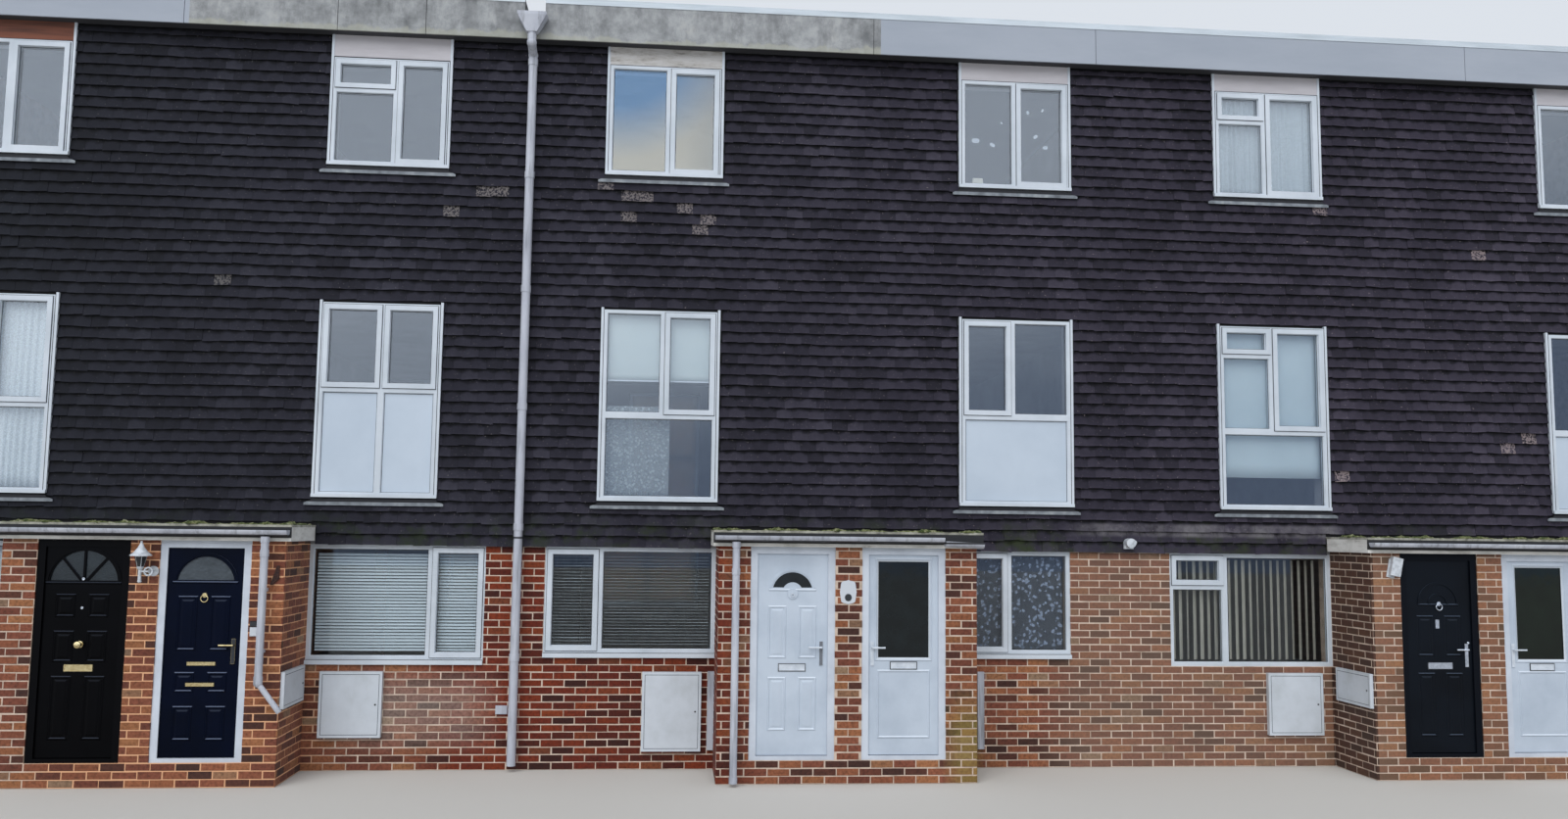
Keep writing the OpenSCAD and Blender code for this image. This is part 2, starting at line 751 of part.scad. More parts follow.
// Downpipes of the porches, with sockets and clips. The first ends well above the ground,
// in a cranked foot.
collar_h = 60;
collar_t = 5;
foot_z = [970, 30, 30];
foot_r = 26;
foot_out = 205;
foot_fall = 270;
clip_w = 40;
clip_shares = [0.2, 0.62];
socket_share = 0.86;
module porch_pipe(foot) {
    h = gutter_z - gutter_r - foot;
    cylinder(h = h, r = porch_pipe_r, $fn = 32);
    for (z = [0, h * socket_share, h - collar_h])
        translate([0, 0, z]) cylinder(h = collar_h, r = porch_pipe_r + collar_t, $fn = 32);
    // Clips that hold the pipe off the wall
    for (share = clip_shares)
        box([-clip_w / 2, 0, h * share], [clip_w / 2, porch_y - gutter_y, h * share + collar_h / 2]);
}
module cranked_foot() {
    sphere(porch_pipe_r + collar_t, $fn = 32);
    rotate([0, 180 - atan2(foot_out, foot_fall), 0])
        cylinder(h = norm([foot_out, foot_fall]), r = foot_r, $fn = 32);
}
module porch_downpipes() {
    color(pipe_c)
        for (k = [0 : 2])
            translate([line_x(2 * k + 1) + pipe_side[k] * pipe_u, gutter_y, foot_z[k]]) {
                porch_pipe(foot_z[k]);
                if (k == 0) cranked_foot();
            }
}

// Left side in X of the front door opening of house i, frame included
function door_x(i) = left_x(i, door_near, door_near + door_frame_w);
door_set = 12;
door_y = porch_y + door_set;
jamb_d = stop_t + leaf_gap + leaf_t;
leaf_y = door_y + stop_t + leaf_gap;
leaf_w = door_frame_w - 2 * jamb_w - leaf_gap - lock_gap;
leaf_z = threshold_z + sill_rail_h + leaf_gap;
leaf_h = door_frame_h - sill_rail_h - jamb_w - 2 * leaf_gap;
// Doors hung on their right side as seen from the front, house by house
hung_right = [0, 0, 0, 1, 0, 1];

// Posts of the front door frames, with the stop on their outer side
module door_frame_posts() {
    color(upvc_c)
        for (i = [0 : last])
            translate([door_x(i), door_y, threshold_z])
                for (s = [0, 1])
                    translate([s * door_frame_w, 0, 0]) mirror([s, 0, 0]) {
                        box([0, 0, 0], [jamb_w, jamb_d, door_frame_h]);
                        box([jamb_w - eps, 0, sill_rail_h],
                            [jamb_w + leaf_gap + stop_lap, stop_t, door_frame_h - jamb_w]);
                    }
}
// Heads and thresholds of the front door frames
module door_frame_rails() {
    color(upvc_c)
        for (i = [0 : last])
            translate([door_x(i) + jamb_w, door_y, threshold_z]) {
                box([0, 0, 0], [door_frame_w - 2 * jamb_w, jamb_d, sill_rail_h]);
                box([0, 0, door_frame_h - jamb_w],
                    [door_frame_w - 2 * jamb_w, jamb_d, door_frame_h]);
                box([leaf_gap + stop_lap, 0, door_frame_h - jamb_w - leaf_gap - stop_lap],
                    [door_frame_w - 2 * jamb_w - leaf_gap - stop_lap, stop_t, door_frame_h - jamb_w + eps]);
            }
}

// Places children in a door's own frame: x from the hinge side, y inwards, z from the
// foot of the leaf, with the hinge axis at x = 0
module at_door(i) {
    hinge_x = jamb_w + leaf_gap;
    translate([door_x(i) + (hung_right[i] ? door_frame_w - hinge_x : hinge_x), leaf_y, leaf_z])
        mirror([hung_right[i], 0, 0]) children();
}

// Frame halves of the hinges: flaps, outer knuckles and pins
hinge_end = 180;
hinge_zs = [hinge_end, leaf_h / 2, leaf_h - hinge_end];
flap_w = 36;
flap_t = 4;
knuckle_gap = 0.3;
pin_gap = 0.08;
module door_hinges() {
    color("#9a9ca0")
        for (i = [0 : last])
            at_door(i)
                for (z = hinge_zs) {
                    translate([0, leaf_t + hinge_off, z - 1.5 * knuckle_h])
                        cylinder(h = 3 * knuckle_h, r = pin_r, $fn = 24);
                    for (s = [-1, 1])
                        translate([0, leaf_t, z + s * knuckle_h - knuckle_h / 2]) {
                            translate([0, hinge_off, 0]) cylinder(h = knuckle_h, r = knuckle_r, $fn = 24);
                            box([-flap_w, 0, 0], [-1, flap_t, knuckle_h]);
                        }
                }
}
// Leaf halves of the hinges
module leaf_hinges() {
    h = knuckle_h - 2 * knuckle_gap;
    for (z = hinge_zs)
        translate([0, leaf_t, z - h / 2])
            difference() {
                union() {
                    translate([0, hinge_off, 0]) cylinder(h = h, r = knuckle_r, $fn = 24);
                    box([1, 0, 0], [flap_w, flap_t, h]);
                }
                translate([0, hinge_off, -eps])
                    cylinder(h = h + 2 * eps, r = pin_r + pin_gap, $fn = 24);
            }
}

// Plain leaf
module leaf_slab() {
    box([0, 0, 0], [leaf_w, leaf_t, leaf_h]);
}
// Block on a leaf's outer face whose four sides are drawn in by slope at height t
module sloped_block(x0, x1, z0, z1, slope, t) {
    intersection() {
        translate([0, 0, z0]) linear_extrude(z1 - z0)
            polygon([[x0, eps], [x0, 0], [x0 + slope, -t], [x1 - slope, -t], [x1, 0], [x1, eps]]);
        translate([x0, 0, 0]) rotate([90, 0, 90]) linear_extrude(x1 - x0)
            polygon([[eps, z0], [0, z0], [-t, z0 + slope], [-t, z1 - slope], [0, z1], [eps, z1]]);
    }
}
// Hollow in a block of height t, whose four sides open out towards its face
module sloped_pit(x0, x1, z0, z1, slope, t) {
    intersection() {
        translate([0, 0, z0 - slope]) linear_extrude(z1 - z0 + 2 * slope)
            polygon([[x0, 2 * eps], [x0, 0], [x0 - slope, -t], [x0 - slope, -t - eps],
                     [x1 + slope, -t - eps], [x1 + slope, -t], [x1, 0], [x1, 2 * eps]]);
        translate([x0 - slope, 0, 0]) rotate([90, 0, 90]) linear_extrude(x1 - x0 + 2 * slope)
            polygon([[2 * eps, z0], [0, z0], [-t, z0 - slope], [-t - eps, z0 - slope],
                     [-t - eps, z1 + slope], [-t, z1 + slope], [0, z1], [2 * eps, z1]]);
    }
}
// Raised moulding round a rectangle of the leaf, with both its sides sloped
bead_slope = 8;
module bead_frame(x0, x1, z0, z1) {
    difference() {
        sloped_block(x0, x1, z0, z1, bead_slope, bead_t);
        sloped_pit(x0 + bead_w, x1 - bead_w, z0 + bead_w, z1 - bead_w, bead_slope, bead_t);
    }
}
// Moulded panel: a raised moulding with a low field inside it
field_gap = 10;
field_slope = 16;
field_t = 4;
module moulded_panel(x0, x1, z0, z1) {
    bead_frame(x0, x1, z0, z1);
    sloped_block(x0 + bead_w + field_gap, x1 - bead_w - field_gap, z0 + bead_w + field_gap,
                 z1 - bead_w - field_gap, field_slope, field_t);
}
// Two columns of moulded panels, mirrored about the leaf's middle, for rows of [foot, top]
panel_side = 116;
panel_gap = 116;
panel_w = (leaf_w - 2 * panel_side - panel_gap) / 2;
module panel_rows(rows) {
    for (r = rows, x = [panel_side, leaf_w - panel_side - panel_w])
        moulded_panel(x, x + panel_w, r[0], r[1]);
}
// Half disc that stands upright in the plane of a leaf, centred at x, z
module half_disc(x, z, r, cut, y0, y1) {
    translate([x, y1, z]) rotate([90, 0, 0])
        linear_extrude(y1 - y0)
            intersection() {
                circle(r, $fn = 64);
                translate([-r, cut]) square([2 * r, r]);
            }
}
// Part of a ring between two radii, above a level cut
module half_ring(x, z, r0, r1, cut, y0, y1) {
    difference() {
        half_disc(x, z, r1, cut, y0, y1);
        if (r0 > 0)
            translate([x, y1 + eps, z]) rotate([90, 0, 0])
                cylinder(h = y1 - y0 + 2 * eps, r = r0, $fn = 64);
    }
}
// Arched glass openings: radius, height of the centre, level of the straight foot above
// the centre, and radius of the solid middle
fan_r = [307, 265, 199];
fan_drop = [353, 356, 388];
fan_z = [for (d = fan_drop) leaf_h - d];
fan_cut = [28, 45, 49];
fan_in = [0, 0, 100];
fan_bars = [50, 90, 130];
fan_bar_w = 22;
fan_lip = 12;
ledge_h = 24;
module fan_opening(n, y0, y1) {
    difference() {
        half_ring(leaf_w / 2, fan_z[n], fan_in[n], fan_r[n], fan_cut[n], y0, y1);
        if (n == 0)
            for (a = fan_bars)
                translate([leaf_w / 2, y0 - eps, fan_z[n]]) rotate([0, -a, 0])
                    translate([0, 0, -fan_bar_w / 2])
                        cube([fan_r[n] + eps, y1 - y0 + 2 * eps, fan_bar_w]);
    }
}
// Ledge across the foot of an arch of radius r at height z
module arch_ledge(r, z) {
    sloped_block(leaf_w / 2 - r, leaf_w / 2 + r, z - ledge_h, z, bead_slope, bead_t);
}
module leaf_with_fan(n, rows) {
    difference() {
        leaf_slab();
        fan_opening(n, -eps, leaf_t + eps);
    }
    half_ring(leaf_w / 2, fan_z[n], fan_r[n] + fan_lip, fan_r[n] + fan_lip + bead_w, fan_cut[n],
              -bead_t, eps);
    arch_ledge(fan_r[n] + fan_lip + bead_w, fan_z[n] + fan_cut[n] - fan_lip);
    panel_rows(rows);
}
module fan_pane(n) {
    fan_opening(n, (leaf_t - glass_t) / 2, (leaf_t + glass_t) / 2);
}
// Tall glazed leaf: one big pane in a moulding above a moulded panel
pane_side = 92;
pane_z0 = 926;
pane_z1 = leaf_h - 64;
low_panel = [156, 819];
module glazed_leaf() {
    difference() {
        union() {
            leaf_slab();
            bead_frame(pane_side - bead_w, leaf_w - pane_side + bead_w,
                       pane_z0 - bead_w, pane_z1 + bead_w);
        }
        box([pane_side, -bead_t - eps, pane_z0], [leaf_w - pane_side, leaf_t + eps, pane_z1]);
    }
    bead_frame(pane_side, leaf_w - pane_side, low_panel[0], low_panel[1]);
}
module big_pane() {
    box([pane_side, (leaf_t - glass_t) / 2, pane_z0],
        [leaf_w - pane_side, (leaf_t + glass_t) / 2, pane_z1]);
}
// Blind arch of the fifth leaf: two half rings on a ledge
blind_drop = 453;
blind_r = [110, 222];
module blind_arch() {
    for (r = blind_r)
        half_ring(leaf_w / 2, leaf_h - blind_drop, r - bead_w, r, 0, -bead_t, eps);
    arch_ledge(blind_r[1], leaf_h - blind_drop + eps);
}

// Six front door leaves, left to right, with their rows of moulded panels
rows_1 = [[160, 746], [873, 1163], [1287, 1504]];
rows_2 = [[150, 470], [594, 784], [981, 1492]];
rows_3 = [[231, 748], [926, 1438]];
rows_5 = [[160, 800], [966, 1380]];
medallion_r = 52;
medallion_drop = 398;
medallion_t = 10;
module door_leaf_1() { color("#08090b") at_door(0) leaf_with_fan(0, rows_1); }
module door_leaf_2() { color("#0b1020") at_door(1) leaf_with_fan(1, rows_2); }
module door_leaf_3() {
    color("#d9e0ee")
        at_door(2) {
            leaf_with_fan(2, rows_3);
            translate([leaf_w / 2, eps, leaf_h - medallion_drop]) rotate([90, 0, 0])
                cylinder(h = medallion_t + eps, r = medallion_r, $fn = 48);
        }
}
module door_leaf_4() { color("#d9e0ee") at_door(3) glazed_leaf(); }
module door_leaf_5() {
    color("#1c2027")
        at_door(4) {
            leaf_slab();
            blind_arch();
            panel_rows(rows_5);
        }
}
module door_leaf_6() { color("#d9e0ee") at_door(5) glazed_leaf(); }
module door_glass_1() { color(glass_c) at_door(0) fan_pane(0); }
module door_glass_2() { color(glass_c) at_door(1) fan_pane(1); }
module door_glass_3() { color(glass_c) at_door(2) fan_pane(2); }
module door_glass_4() { color(glass_c) at_door(3) big_pane(); }
module door_glass_6() { color(glass_c) at_door(5) big_pane(); }

// Fittings: a letter plate, and a lever on a long backplate, a knob or a ring knocker
plate_w = 265;
plate_rim = 12;
plate_t = 8;
letter_z = [785, 842, 805, 826, 836, 826];
letter_h = [70, 40, 70, 70, 70, 70];
kick_bar_z = 649;
// Plate with a sloped rim, and a flap set back behind it
module letter_plate(z, h) {
    half = plate_w / 2;
    translate([leaf_w / 2, 0, z])
        difference() {
            sloped_block(-half, half, 0, h, plate_t / 2, plate_t);
            box([-half - eps, 0, -eps], [half + eps, 2 * eps, h + eps]);
            box([-half + plate_rim, -plate_t - eps, plate_rim],
                [half - plate_rim, -plate_t / 2, h - plate_rim]);
        }
}
// Lever handle, with the distance of its backplate's middle from the leaf's free edge
lever_z = 975;
lever_in = [70, 70, 70, 44, 70, 44];
backplate_w = 36;
backplate_h = [115, 120];
backplate_t = 9;
spindle_up = 60;
spindle_l = 34;
spindle_r = 10;
lever_l = 125;
lever_r = 9;
module lever_handle(inset) {
    translate([leaf_w - inset, -backplate_t, lever_z]) {
        box([-backplate_w / 2, 0, -backplate_h[0]], [backplate_w / 2, backplate_t, backplate_h[1]]);
        translate([0, 0, spindle_up]) {
            rotate([90, 0, 0]) cylinder(h = spindle_l, r = spindle_r, $fn = 24);
            translate([0, -spindle_l, 0]) {
                sphere(spindle_r + eps, $fn = 24);
                rotate([0, -90, 0]) cylinder(h = lever_l, r = lever_r, $fn = 24);
            }
        }
    }
}
// Turned knob: rose, neck and a rounded head, as radius and distance from the leaf
knob_z = 1036;
knob_outline = [[0, 0], [34, 0], [32, 6], [14, 10], [12, 30], [26, 38], [33, 48], [30, 58],
                [16, 64], [0, 66]];
module door_knob() {
    translate([leaf_w / 2, 0, knob_z]) rotate([90, 0, 0])
        rotate_extrude($fn = 48) polygon(knob_outline);
}
// Ring knocker: rose, boss, and a ring that hangs from the boss
rose_r = 22;
rose_t = 8;
boss_r = 9;
boss_l = 20;
ring_r = 32;
ring_wire = 5;
module ring_knocker() {
    translate([leaf_w / 2, 0, leaf_h - blind_drop]) rotate([90, 0, 0]) {
        cylinder(h = rose_t, r = rose_r, $fn = 40);
        cylinder(h = boss_l, r = boss_r, $fn = 32);
        translate([0, -ring_r, boss_l - ring_wire - eps])
            rotate_extrude($fn = 48) translate([ring_r, 0]) circle(ring_wire, $fn = 16);
    }
}
// Small drop knocker on the medallion of the third leaf
drop_r = 16;
drop_wire = 4;
drop_boss_r = 7;
drop_boss_l = 12;
module drop_knocker() {
    translate([leaf_w / 2, -medallion_t, leaf_h - medallion_drop]) rotate([90, 0, 0]) {
        cylinder(h = drop_boss_l, r = drop_boss_r, $fn = 24);
        translate([0, -drop_r, drop_wire + eps])
            rotate_extrude($fn = 32) translate([drop_r, 0]) circle(drop_wire, $fn = 16);
    }
}
// Hinges and letter plate that every leaf has, and a lever on all but the first
module leaf_set(i) {
    leaf_hinges();
    letter_plate(letter_z[i], letter_h[i]);
    if (i > 0)
        lever_handle(lever_in[i]);
}
module door_fittings_1() {
    color(brass_c)
        at_door(0) {
            leaf_set(0);
            door_knob();
        }
}
module door_fittings_2() {
    color(brass_c)
        at_door(1) {
            leaf_set(1);
            // A second bar that lies across the mouldings
            translate([0, -bead_t, 0]) letter_plate(kick_bar_z, letter_h[1]);
            ring_knocker();
        }
}
module door_fittings_3() {
    color(chrome_c)
        at_door(2) {
            leaf_set(2);
            drop_knocker();
        }
}
module door_fittings_4() { color(chrome_c) at_door(3) leaf_set(3); }
module door_fittings_5() {
    color(chrome_c)
        at_door(4) {
            leaf_set(4);
            translate([0, -bead_t, 0]) ring_knocker();
        }
}
module door_fittings_6() { color(chrome_c) at_door(5) leaf_set(5); }

// Hopper head: a box open at the top, tapered down to the neck of the main downpipe
hopper_w = 300;
hopper_d = 170;
hopper_h = 205;
hopper_rim_h = 30;
hopper_t = 4;
neck_lap = 8;
pipe_off = 12;
main_pipe_y = tile_y - pipe_off - main_pipe_r;
function taper(w, n, h) =
    [[-n, 0], [n, 0], [w / 2, h - hopper_rim_h], [w / 2, h], [-w / 2, h], [-w / 2, h - hopper_rim_h]];
module hopper_form(inset) {
    n = main_pipe_r + neck_lap - inset;
    intersection() {
        translate([0, hopper_d, 0]) rotate([90, 0, 0])
            linear_extrude(2 * hopper_d) polygon(taper(hopper_w - 2 * inset, n, hopper_h));
        translate([-hopper_w, 0, 0]) rotate([90, 0, 90])
            linear_extrude(2 * hopper_w) polygon(taper(hopper_d - 2 * inset, n, hopper_h));
    }
}
hopper_gap_y = 3;
hopper_y = front_y - eave - hopper_d / 2 - hopper_gap_y;
module hopper_head() {
    color("#aab0b8")
        translate([hopper_x, hopper_y, hopper_top_z - hopper_h])
            difference() {
                hopper_form(0);
                translate([0, 0, hopper_t]) hopper_form(hopper_t);
                translate([0, 0, -eps])
                    cylinder(h = 3 * hopper_t, r = main_pipe_r - hopper_t, $fn = 32);
            }
}

// Main downpipe: down from the hopper head past the fascia, back to the wall below the
// soffit, and down to the ground, with couplings and clips
main_collars = [908, 2222, 3460, 4690, 5901, 7119];
main_collar_h = 70;
main_collar_t = 6;
main_foot_z = 60;
bend_drop = 80;
bend_fall = 75;
bend_top_z = soffit_z - bend_drop;
bend_low_z = bend_top_z - bend_fall;
module main_downpipe() {
    drop = bend_top_z - bend_low_z;
    back = main_pipe_y - hopper_y;
    color(pipe_c)
        translate([hopper_x, main_pipe_y, 0]) {
            translate([0, 0, main_foot_z])
                cylinder(h = bend_low_z - main_foot_z, r = main_pipe_r, $fn = 32);
            translate([0, 0, bend_low_z]) sphere(main_pipe_r + main_collar_t, $fn = 32);
            translate([0, 0, bend_low_z]) rotate([atan2(back, drop), 0, 0])
                cylinder(h = norm([back, drop]), r = main_pipe_r, $fn = 32);
            translate([0, -back, bend_top_z]) sphere(main_pipe_r + main_collar_t, $fn = 32);
            translate([0, -back, bend_top_z])
                cylinder(h = hopper_top_z - hopper_h - bend_top_z, r = main_pipe_r, $fn = 32);
            for (z = main_collars)
                translate([0, 0, threshold_z + z - main_collar_h / 2])
                    cylinder(h = main_collar_h, r = main_pipe_r + main_collar_t, $fn = 32);
            // Clips that hold the pipe off the wall
            for (z = main_collars)
                box([-clip_w / 2, 0, threshold_z + z - main_collar_h / 4],
                    [clip_w / 2, (threshold_z + z < tile_foot_z ? front_y : tile_y) - main_pipe_y,
                     threshold_z + z + main_collar_h / 4]);
        }
}

// Meter cupboards on the front wall as [house, near side, far side, bottom], and two more on
// the sides of porches, each with a raised door panel in a frame
box_d = 60;
door_lift = 6;
frame_in = 26;
box_top_z = 983;
wall_boxes = [[1, 1449, 2064, 330], [2, 1415, 2020, 186], [4, 1434, 2041, 330]];
side_box_z = [712, 1056];
side_box_y = [120, 780];
side_box_d = 40;
lock_r = 8;
lock_in = 60;
module cupboard(w, h, d) {
    difference() {
        box([0, -d, 0], [w, 0, h]);
        box([frame_in, -d - eps, frame_in], [w - frame_in, -d + door_lift, h - frame_in]);
    }
    box([frame_in + door_lift, -d, frame_in + door_lift],
        [w - frame_in - door_lift, -d + door_lift + eps, h - frame_in - door_lift]);
    translate([w - lock_in, -d + eps, h / 2]) rotate([90, 0, 0])
        cylinder(h = door_lift, r = lock_r, $fn = 24);
}
module meter_boxes() {
    color("#dfe3ea") {
        for (m = wall_boxes)
            translate([left_x(m[0], m[1], m[2]), front_y, m[3]])
                cupboard(m[2] - m[1], box_top_z - m[3], box_d);
        for (i = [1, 4])
            translate([ux(i, porch_half), front_y - side_box_y[0], side_box_z[0]])
                rotate([0, 0, dir(i) * 90])
                    translate([dir(i) > 0 ? side_box_y[0] - side_box_y[1] : 0, 0, 0])
                        cupboard(side_box_y[1] - side_box_y[0], side_box_z[1] - side_box_z[0], side_box_d);
    }
}

// Narrow cable ducts beside two ground floor windows, and a small vent box by the downpipe
duct_w = 70;
duct_d = 40;
duct_z = [195, 989];
duct_off = 196;
vent_x = [-182, -65];
vent_z = [558, 642];
vent_d = 30;
module wall_ducts() {
    color("#aeb4c4") {
        for (x = [-porch_half - duct_w, porch_half + duct_off])
            box([x, front_y - duct_d, duct_z[0]], [x + duct_w, front_y, duct_z[1]]);
        box([hopper_x + vent_x[0], front_y - vent_d, vent_z[0]],
            [hopper_x + vent_x[1], front_y, vent_z[1]]);
    }
}

// Outdoor lights: a lantern and a box light on porch piers, and a flood light on the
// edge of the tiles. The lantern stands on a turned stem beside its arm and scroll.
lantern_drop = 397;
lantern_out = 126;
lantern_side = 75;
lantern_x = line_x(1) + 10;
body_z = 142;
body_h = 110;
body_r = [30, 60];
stem_outline = [[0, 0], [9, 0], [20, 12], [15, 26], [15, 118], [30, 136], [34, body_z + eps],
                [0, body_z + eps]];
cap_outline = [[0, 0], [98, 0], [95, 8], [62, 34], [31, 76], [16, 108], [8, 122], [13, 130], [0, 139]];
scroll_r = 36;
scroll_wire = 8;
plate_r = 48;
rose_plate_t = 10;
module lantern_arm() {
    rotate([90, 0, 0]) {
        cylinder(h = rose_plate_t, r = plate_r, $fn = 40);
        cylinder(h = lantern_out, r = scroll_wire, $fn = 24);
    }
    translate([0, -lantern_out, 0]) {
        rotate([90, 0, 0])
            rotate_extrude($fn = 40) translate([scroll_r, 0]) circle(scroll_wire, $fn = 16);
        rotate([0, -90, 0]) cylinder(h = lantern_side, r = scroll_wire, $fn = 24);
    }
}
module lantern() {
    translate([lantern_side, 0, body_z - scroll_r]) lantern_arm();
    translate([0, -lantern_out, 0]) {
        rotate_extrude($fn = 32) polygon(stem_outline);
        translate([0, 0, body_z])
            cylinder(h = body_h, r1 = body_r[0], r2 = body_r[1], $fn = 6);
        translate([0, 0, body_z + body_h - eps]) rotate_extrude($fn = 32) polygon(cap_outline);
    }
}
// Box light, hung askew on its back plate
box_light_u = [980, 1090];
box_light_drop = [232, 43];
box_light_d = 60;
box_light_tilt = 12;
back_plate_t = 12;
back_plate_off = 24;
module box_light() {
    w = box_light_u[1] - box_light_u[0];
    h = box_light_drop[0] - box_light_drop[1];
    rotate([0, box_light_tilt, 0]) {
        box([-w / 2, -box_light_d, -h / 2], [w / 2, 0, h / 2]);
        translate([-back_plate_off / 2, 0, -back_plate_off])
            box([-w / 2, -back_plate_t, -h / 2], [w / 2 - back_plate_off, 0, h / 2]);
    }
}
// Flood light: a bracket, a round head and a knuckle at its side
flood_x = [-308, -145];
flood_z = [2290, 2400];
flood_d = 110;
flood_r = 50;
flood_lift = 12;
knuckle_ball_r = 28;
bracket_w = 98;
bracket_d = 35;
module flood_light() {
    h = flood_z[1] - flood_z[0];
    box([-bracket_w / 2, -bracket_d, 0], [bracket_w / 2, 0, h / 2]);
    translate([0, -flood_d / 2, flood_r + flood_lift]) {
        rotate([90, 0, 0]) cylinder(h = flood_d, r = flood_r, center = true, $fn = 40);
        translate([flood_r, 0, flood_lift / 2]) sphere(knuckle_ball_r, $fn = 24);
    }
}
module wall_lights() {
    color("#e3e6ea") {
        translate([lantern_x, porch_y, porch_roof_z - lantern_drop]) lantern();
        translate([ux(4, (box_light_u[0] + box_light_u[1]) / 2), porch_y,
                   porch_roof_z - (box_light_drop[0] + box_light_drop[1]) / 2])
            box_light();
        translate([far_line(4) + (flood_x[0] + flood_x[1]) / 2, tile_y, flood_z[0]]) flood_light();
    }
}

ground_slab();
party_walls();
end_walls();
ground_piers();
dwarf_walls();
upper_posts();
upper_spandrels();
tile_hanging();
upper_floors();
roof_deck();
roof_trim();
fascias();
soffits();
window_frames_ground();
window_frames_first();
window_frames_second();
window_glass();
window_panels();
window_sills();
lead_aprons();
head_boards();
rear_doors();
porch_walls();
porch_front_piers();
door_steps();
porch_floors();
porch_roofs();
porch_fascias();
porch_gutters();
porch_downpipes();
door_frame_posts();
door_frame_rails();
door_hinges();
hopper_head();
main_downpipe();
meter_boxes();
wall_ducts();
wall_lights();
door_leaf_1();
door_leaf_2();
door_leaf_3();
door_leaf_4();
door_leaf_5();
door_leaf_6();
door_glass_1();
door_glass_2();
door_glass_3();
door_glass_4();
door_glass_6();
door_fittings_1();
door_fittings_2();
door_fittings_3();
door_fittings_4();
door_fittings_5();
door_fittings_6();
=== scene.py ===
"""Looks of a row of six terraced houses with a flat roof, brick below and hung with tiles above."""

import math

import bpy
import numpy as np
from mathutils import Matrix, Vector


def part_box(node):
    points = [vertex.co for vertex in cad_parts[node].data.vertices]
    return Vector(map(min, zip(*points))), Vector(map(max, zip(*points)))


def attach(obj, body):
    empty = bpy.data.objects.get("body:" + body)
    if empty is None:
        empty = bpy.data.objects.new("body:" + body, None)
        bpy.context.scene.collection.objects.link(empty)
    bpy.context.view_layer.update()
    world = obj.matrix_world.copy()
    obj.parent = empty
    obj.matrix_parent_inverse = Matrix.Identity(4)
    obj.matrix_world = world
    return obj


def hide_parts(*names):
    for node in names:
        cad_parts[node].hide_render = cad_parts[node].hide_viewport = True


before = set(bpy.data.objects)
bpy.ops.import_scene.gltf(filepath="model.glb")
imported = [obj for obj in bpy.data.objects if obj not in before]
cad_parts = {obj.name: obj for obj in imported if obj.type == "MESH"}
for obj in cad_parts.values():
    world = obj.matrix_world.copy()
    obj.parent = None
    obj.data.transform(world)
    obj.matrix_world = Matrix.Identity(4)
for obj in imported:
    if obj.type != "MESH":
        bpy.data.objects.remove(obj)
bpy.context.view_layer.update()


# Viewpoint, daylight and ground.
# The camera stands across the front gardens, a little left of the middle of the row, tipped
# up slightly and rolled by less than a degree. An even overcast sky lights a pale floor.
CAMERA_AT = (-1.760, -17.405, 2.449)
CAMERA_TURN, CAMERA_PITCH, CAMERA_ROLL = 5.057, 5.472, 0.681
CAMERA_LENS, CAMERA_SENSOR, CAMERA_REACH = 28.88, 36.0, 500.0
SKY_LIGHT, SKY_SEEN, SKY_MIRRORED = 0.62, 0.93, 3.5
BLUE_GAP = (-0.045, -0.93, 0.365)
CREAM_CLOUD = (-0.03, -0.957, 0.288)
SUN_STRENGTH, SUN_SPREAD = 1.9, 50.0
SUN_TILT, SUN_TURN = 48.0, -18.0
FLOOR_HALF, FLOOR_Z = 70.0, -0.003


def linear(code):
    """Turns an sRGB hex code to linear: each channel c becomes c / 12.92 below 0.04045 and
    ((c + 0.055) / 1.055) to the power 2.4 above."""
    channels = [int(code[i:i + 2], 16) / 255 for i in (1, 3, 5)]
    return [c / 12.92 if c <= 0.04045 else ((c + 0.055) / 1.055) ** 2.4 for c in channels] + [1.0]


def feed(tree, source, socket):
    """Links a socket, or the first output of a node, to a socket."""
    tree.links.new(getattr(source, "outputs", [source])[0], socket)


def put(tree, kind, values=None, links=None, **settings):
    """Adds one node: settings are its properties, values its sockets' numbers or hex colours by
    name or number, and links the sockets or nodes that feed it."""
    new = tree.nodes.new("ShaderNode" + kind)
    for key, value in settings.items():
        setattr(new, key, value)
    for key, value in (values or {}).items():
        new.inputs[key].default_value = linear(value) if isinstance(value, str) else value
    for key, source in (links or {}).items():
        feed(tree, source, new.inputs[key])
    return new


def surface(name, code=None, **sockets):
    """A material with a bare Principled shader whose sockets are set directly, and its colour
    too where it has only one."""
    made = bpy.data.materials.new(name)
    made.use_nodes = True
    shader = made.node_tree.nodes["Principled BSDF"]
    for key, value in sockets.items():
        shader.inputs[key.replace("_", " ")].default_value = value
    if code:
        shader.inputs["Base Color"].default_value = linear(code)
    return made, made.node_tree, shader


def ramp(tree, factor, stops, smooth=True):
    """A colour ramp through the given positions and hex colours."""
    made = put(tree, "ValToRGB", links={"Fac": factor})
    made.color_ramp.interpolation = "LINEAR" if smooth else "CONSTANT"
    points = made.color_ramp.elements
    while len(points) < len(stops):
        points.new(0.5)
    for point, (place, code) in zip(points, stops):
        point.position = place
        point.color = linear(code)
    return made.outputs["Color"]


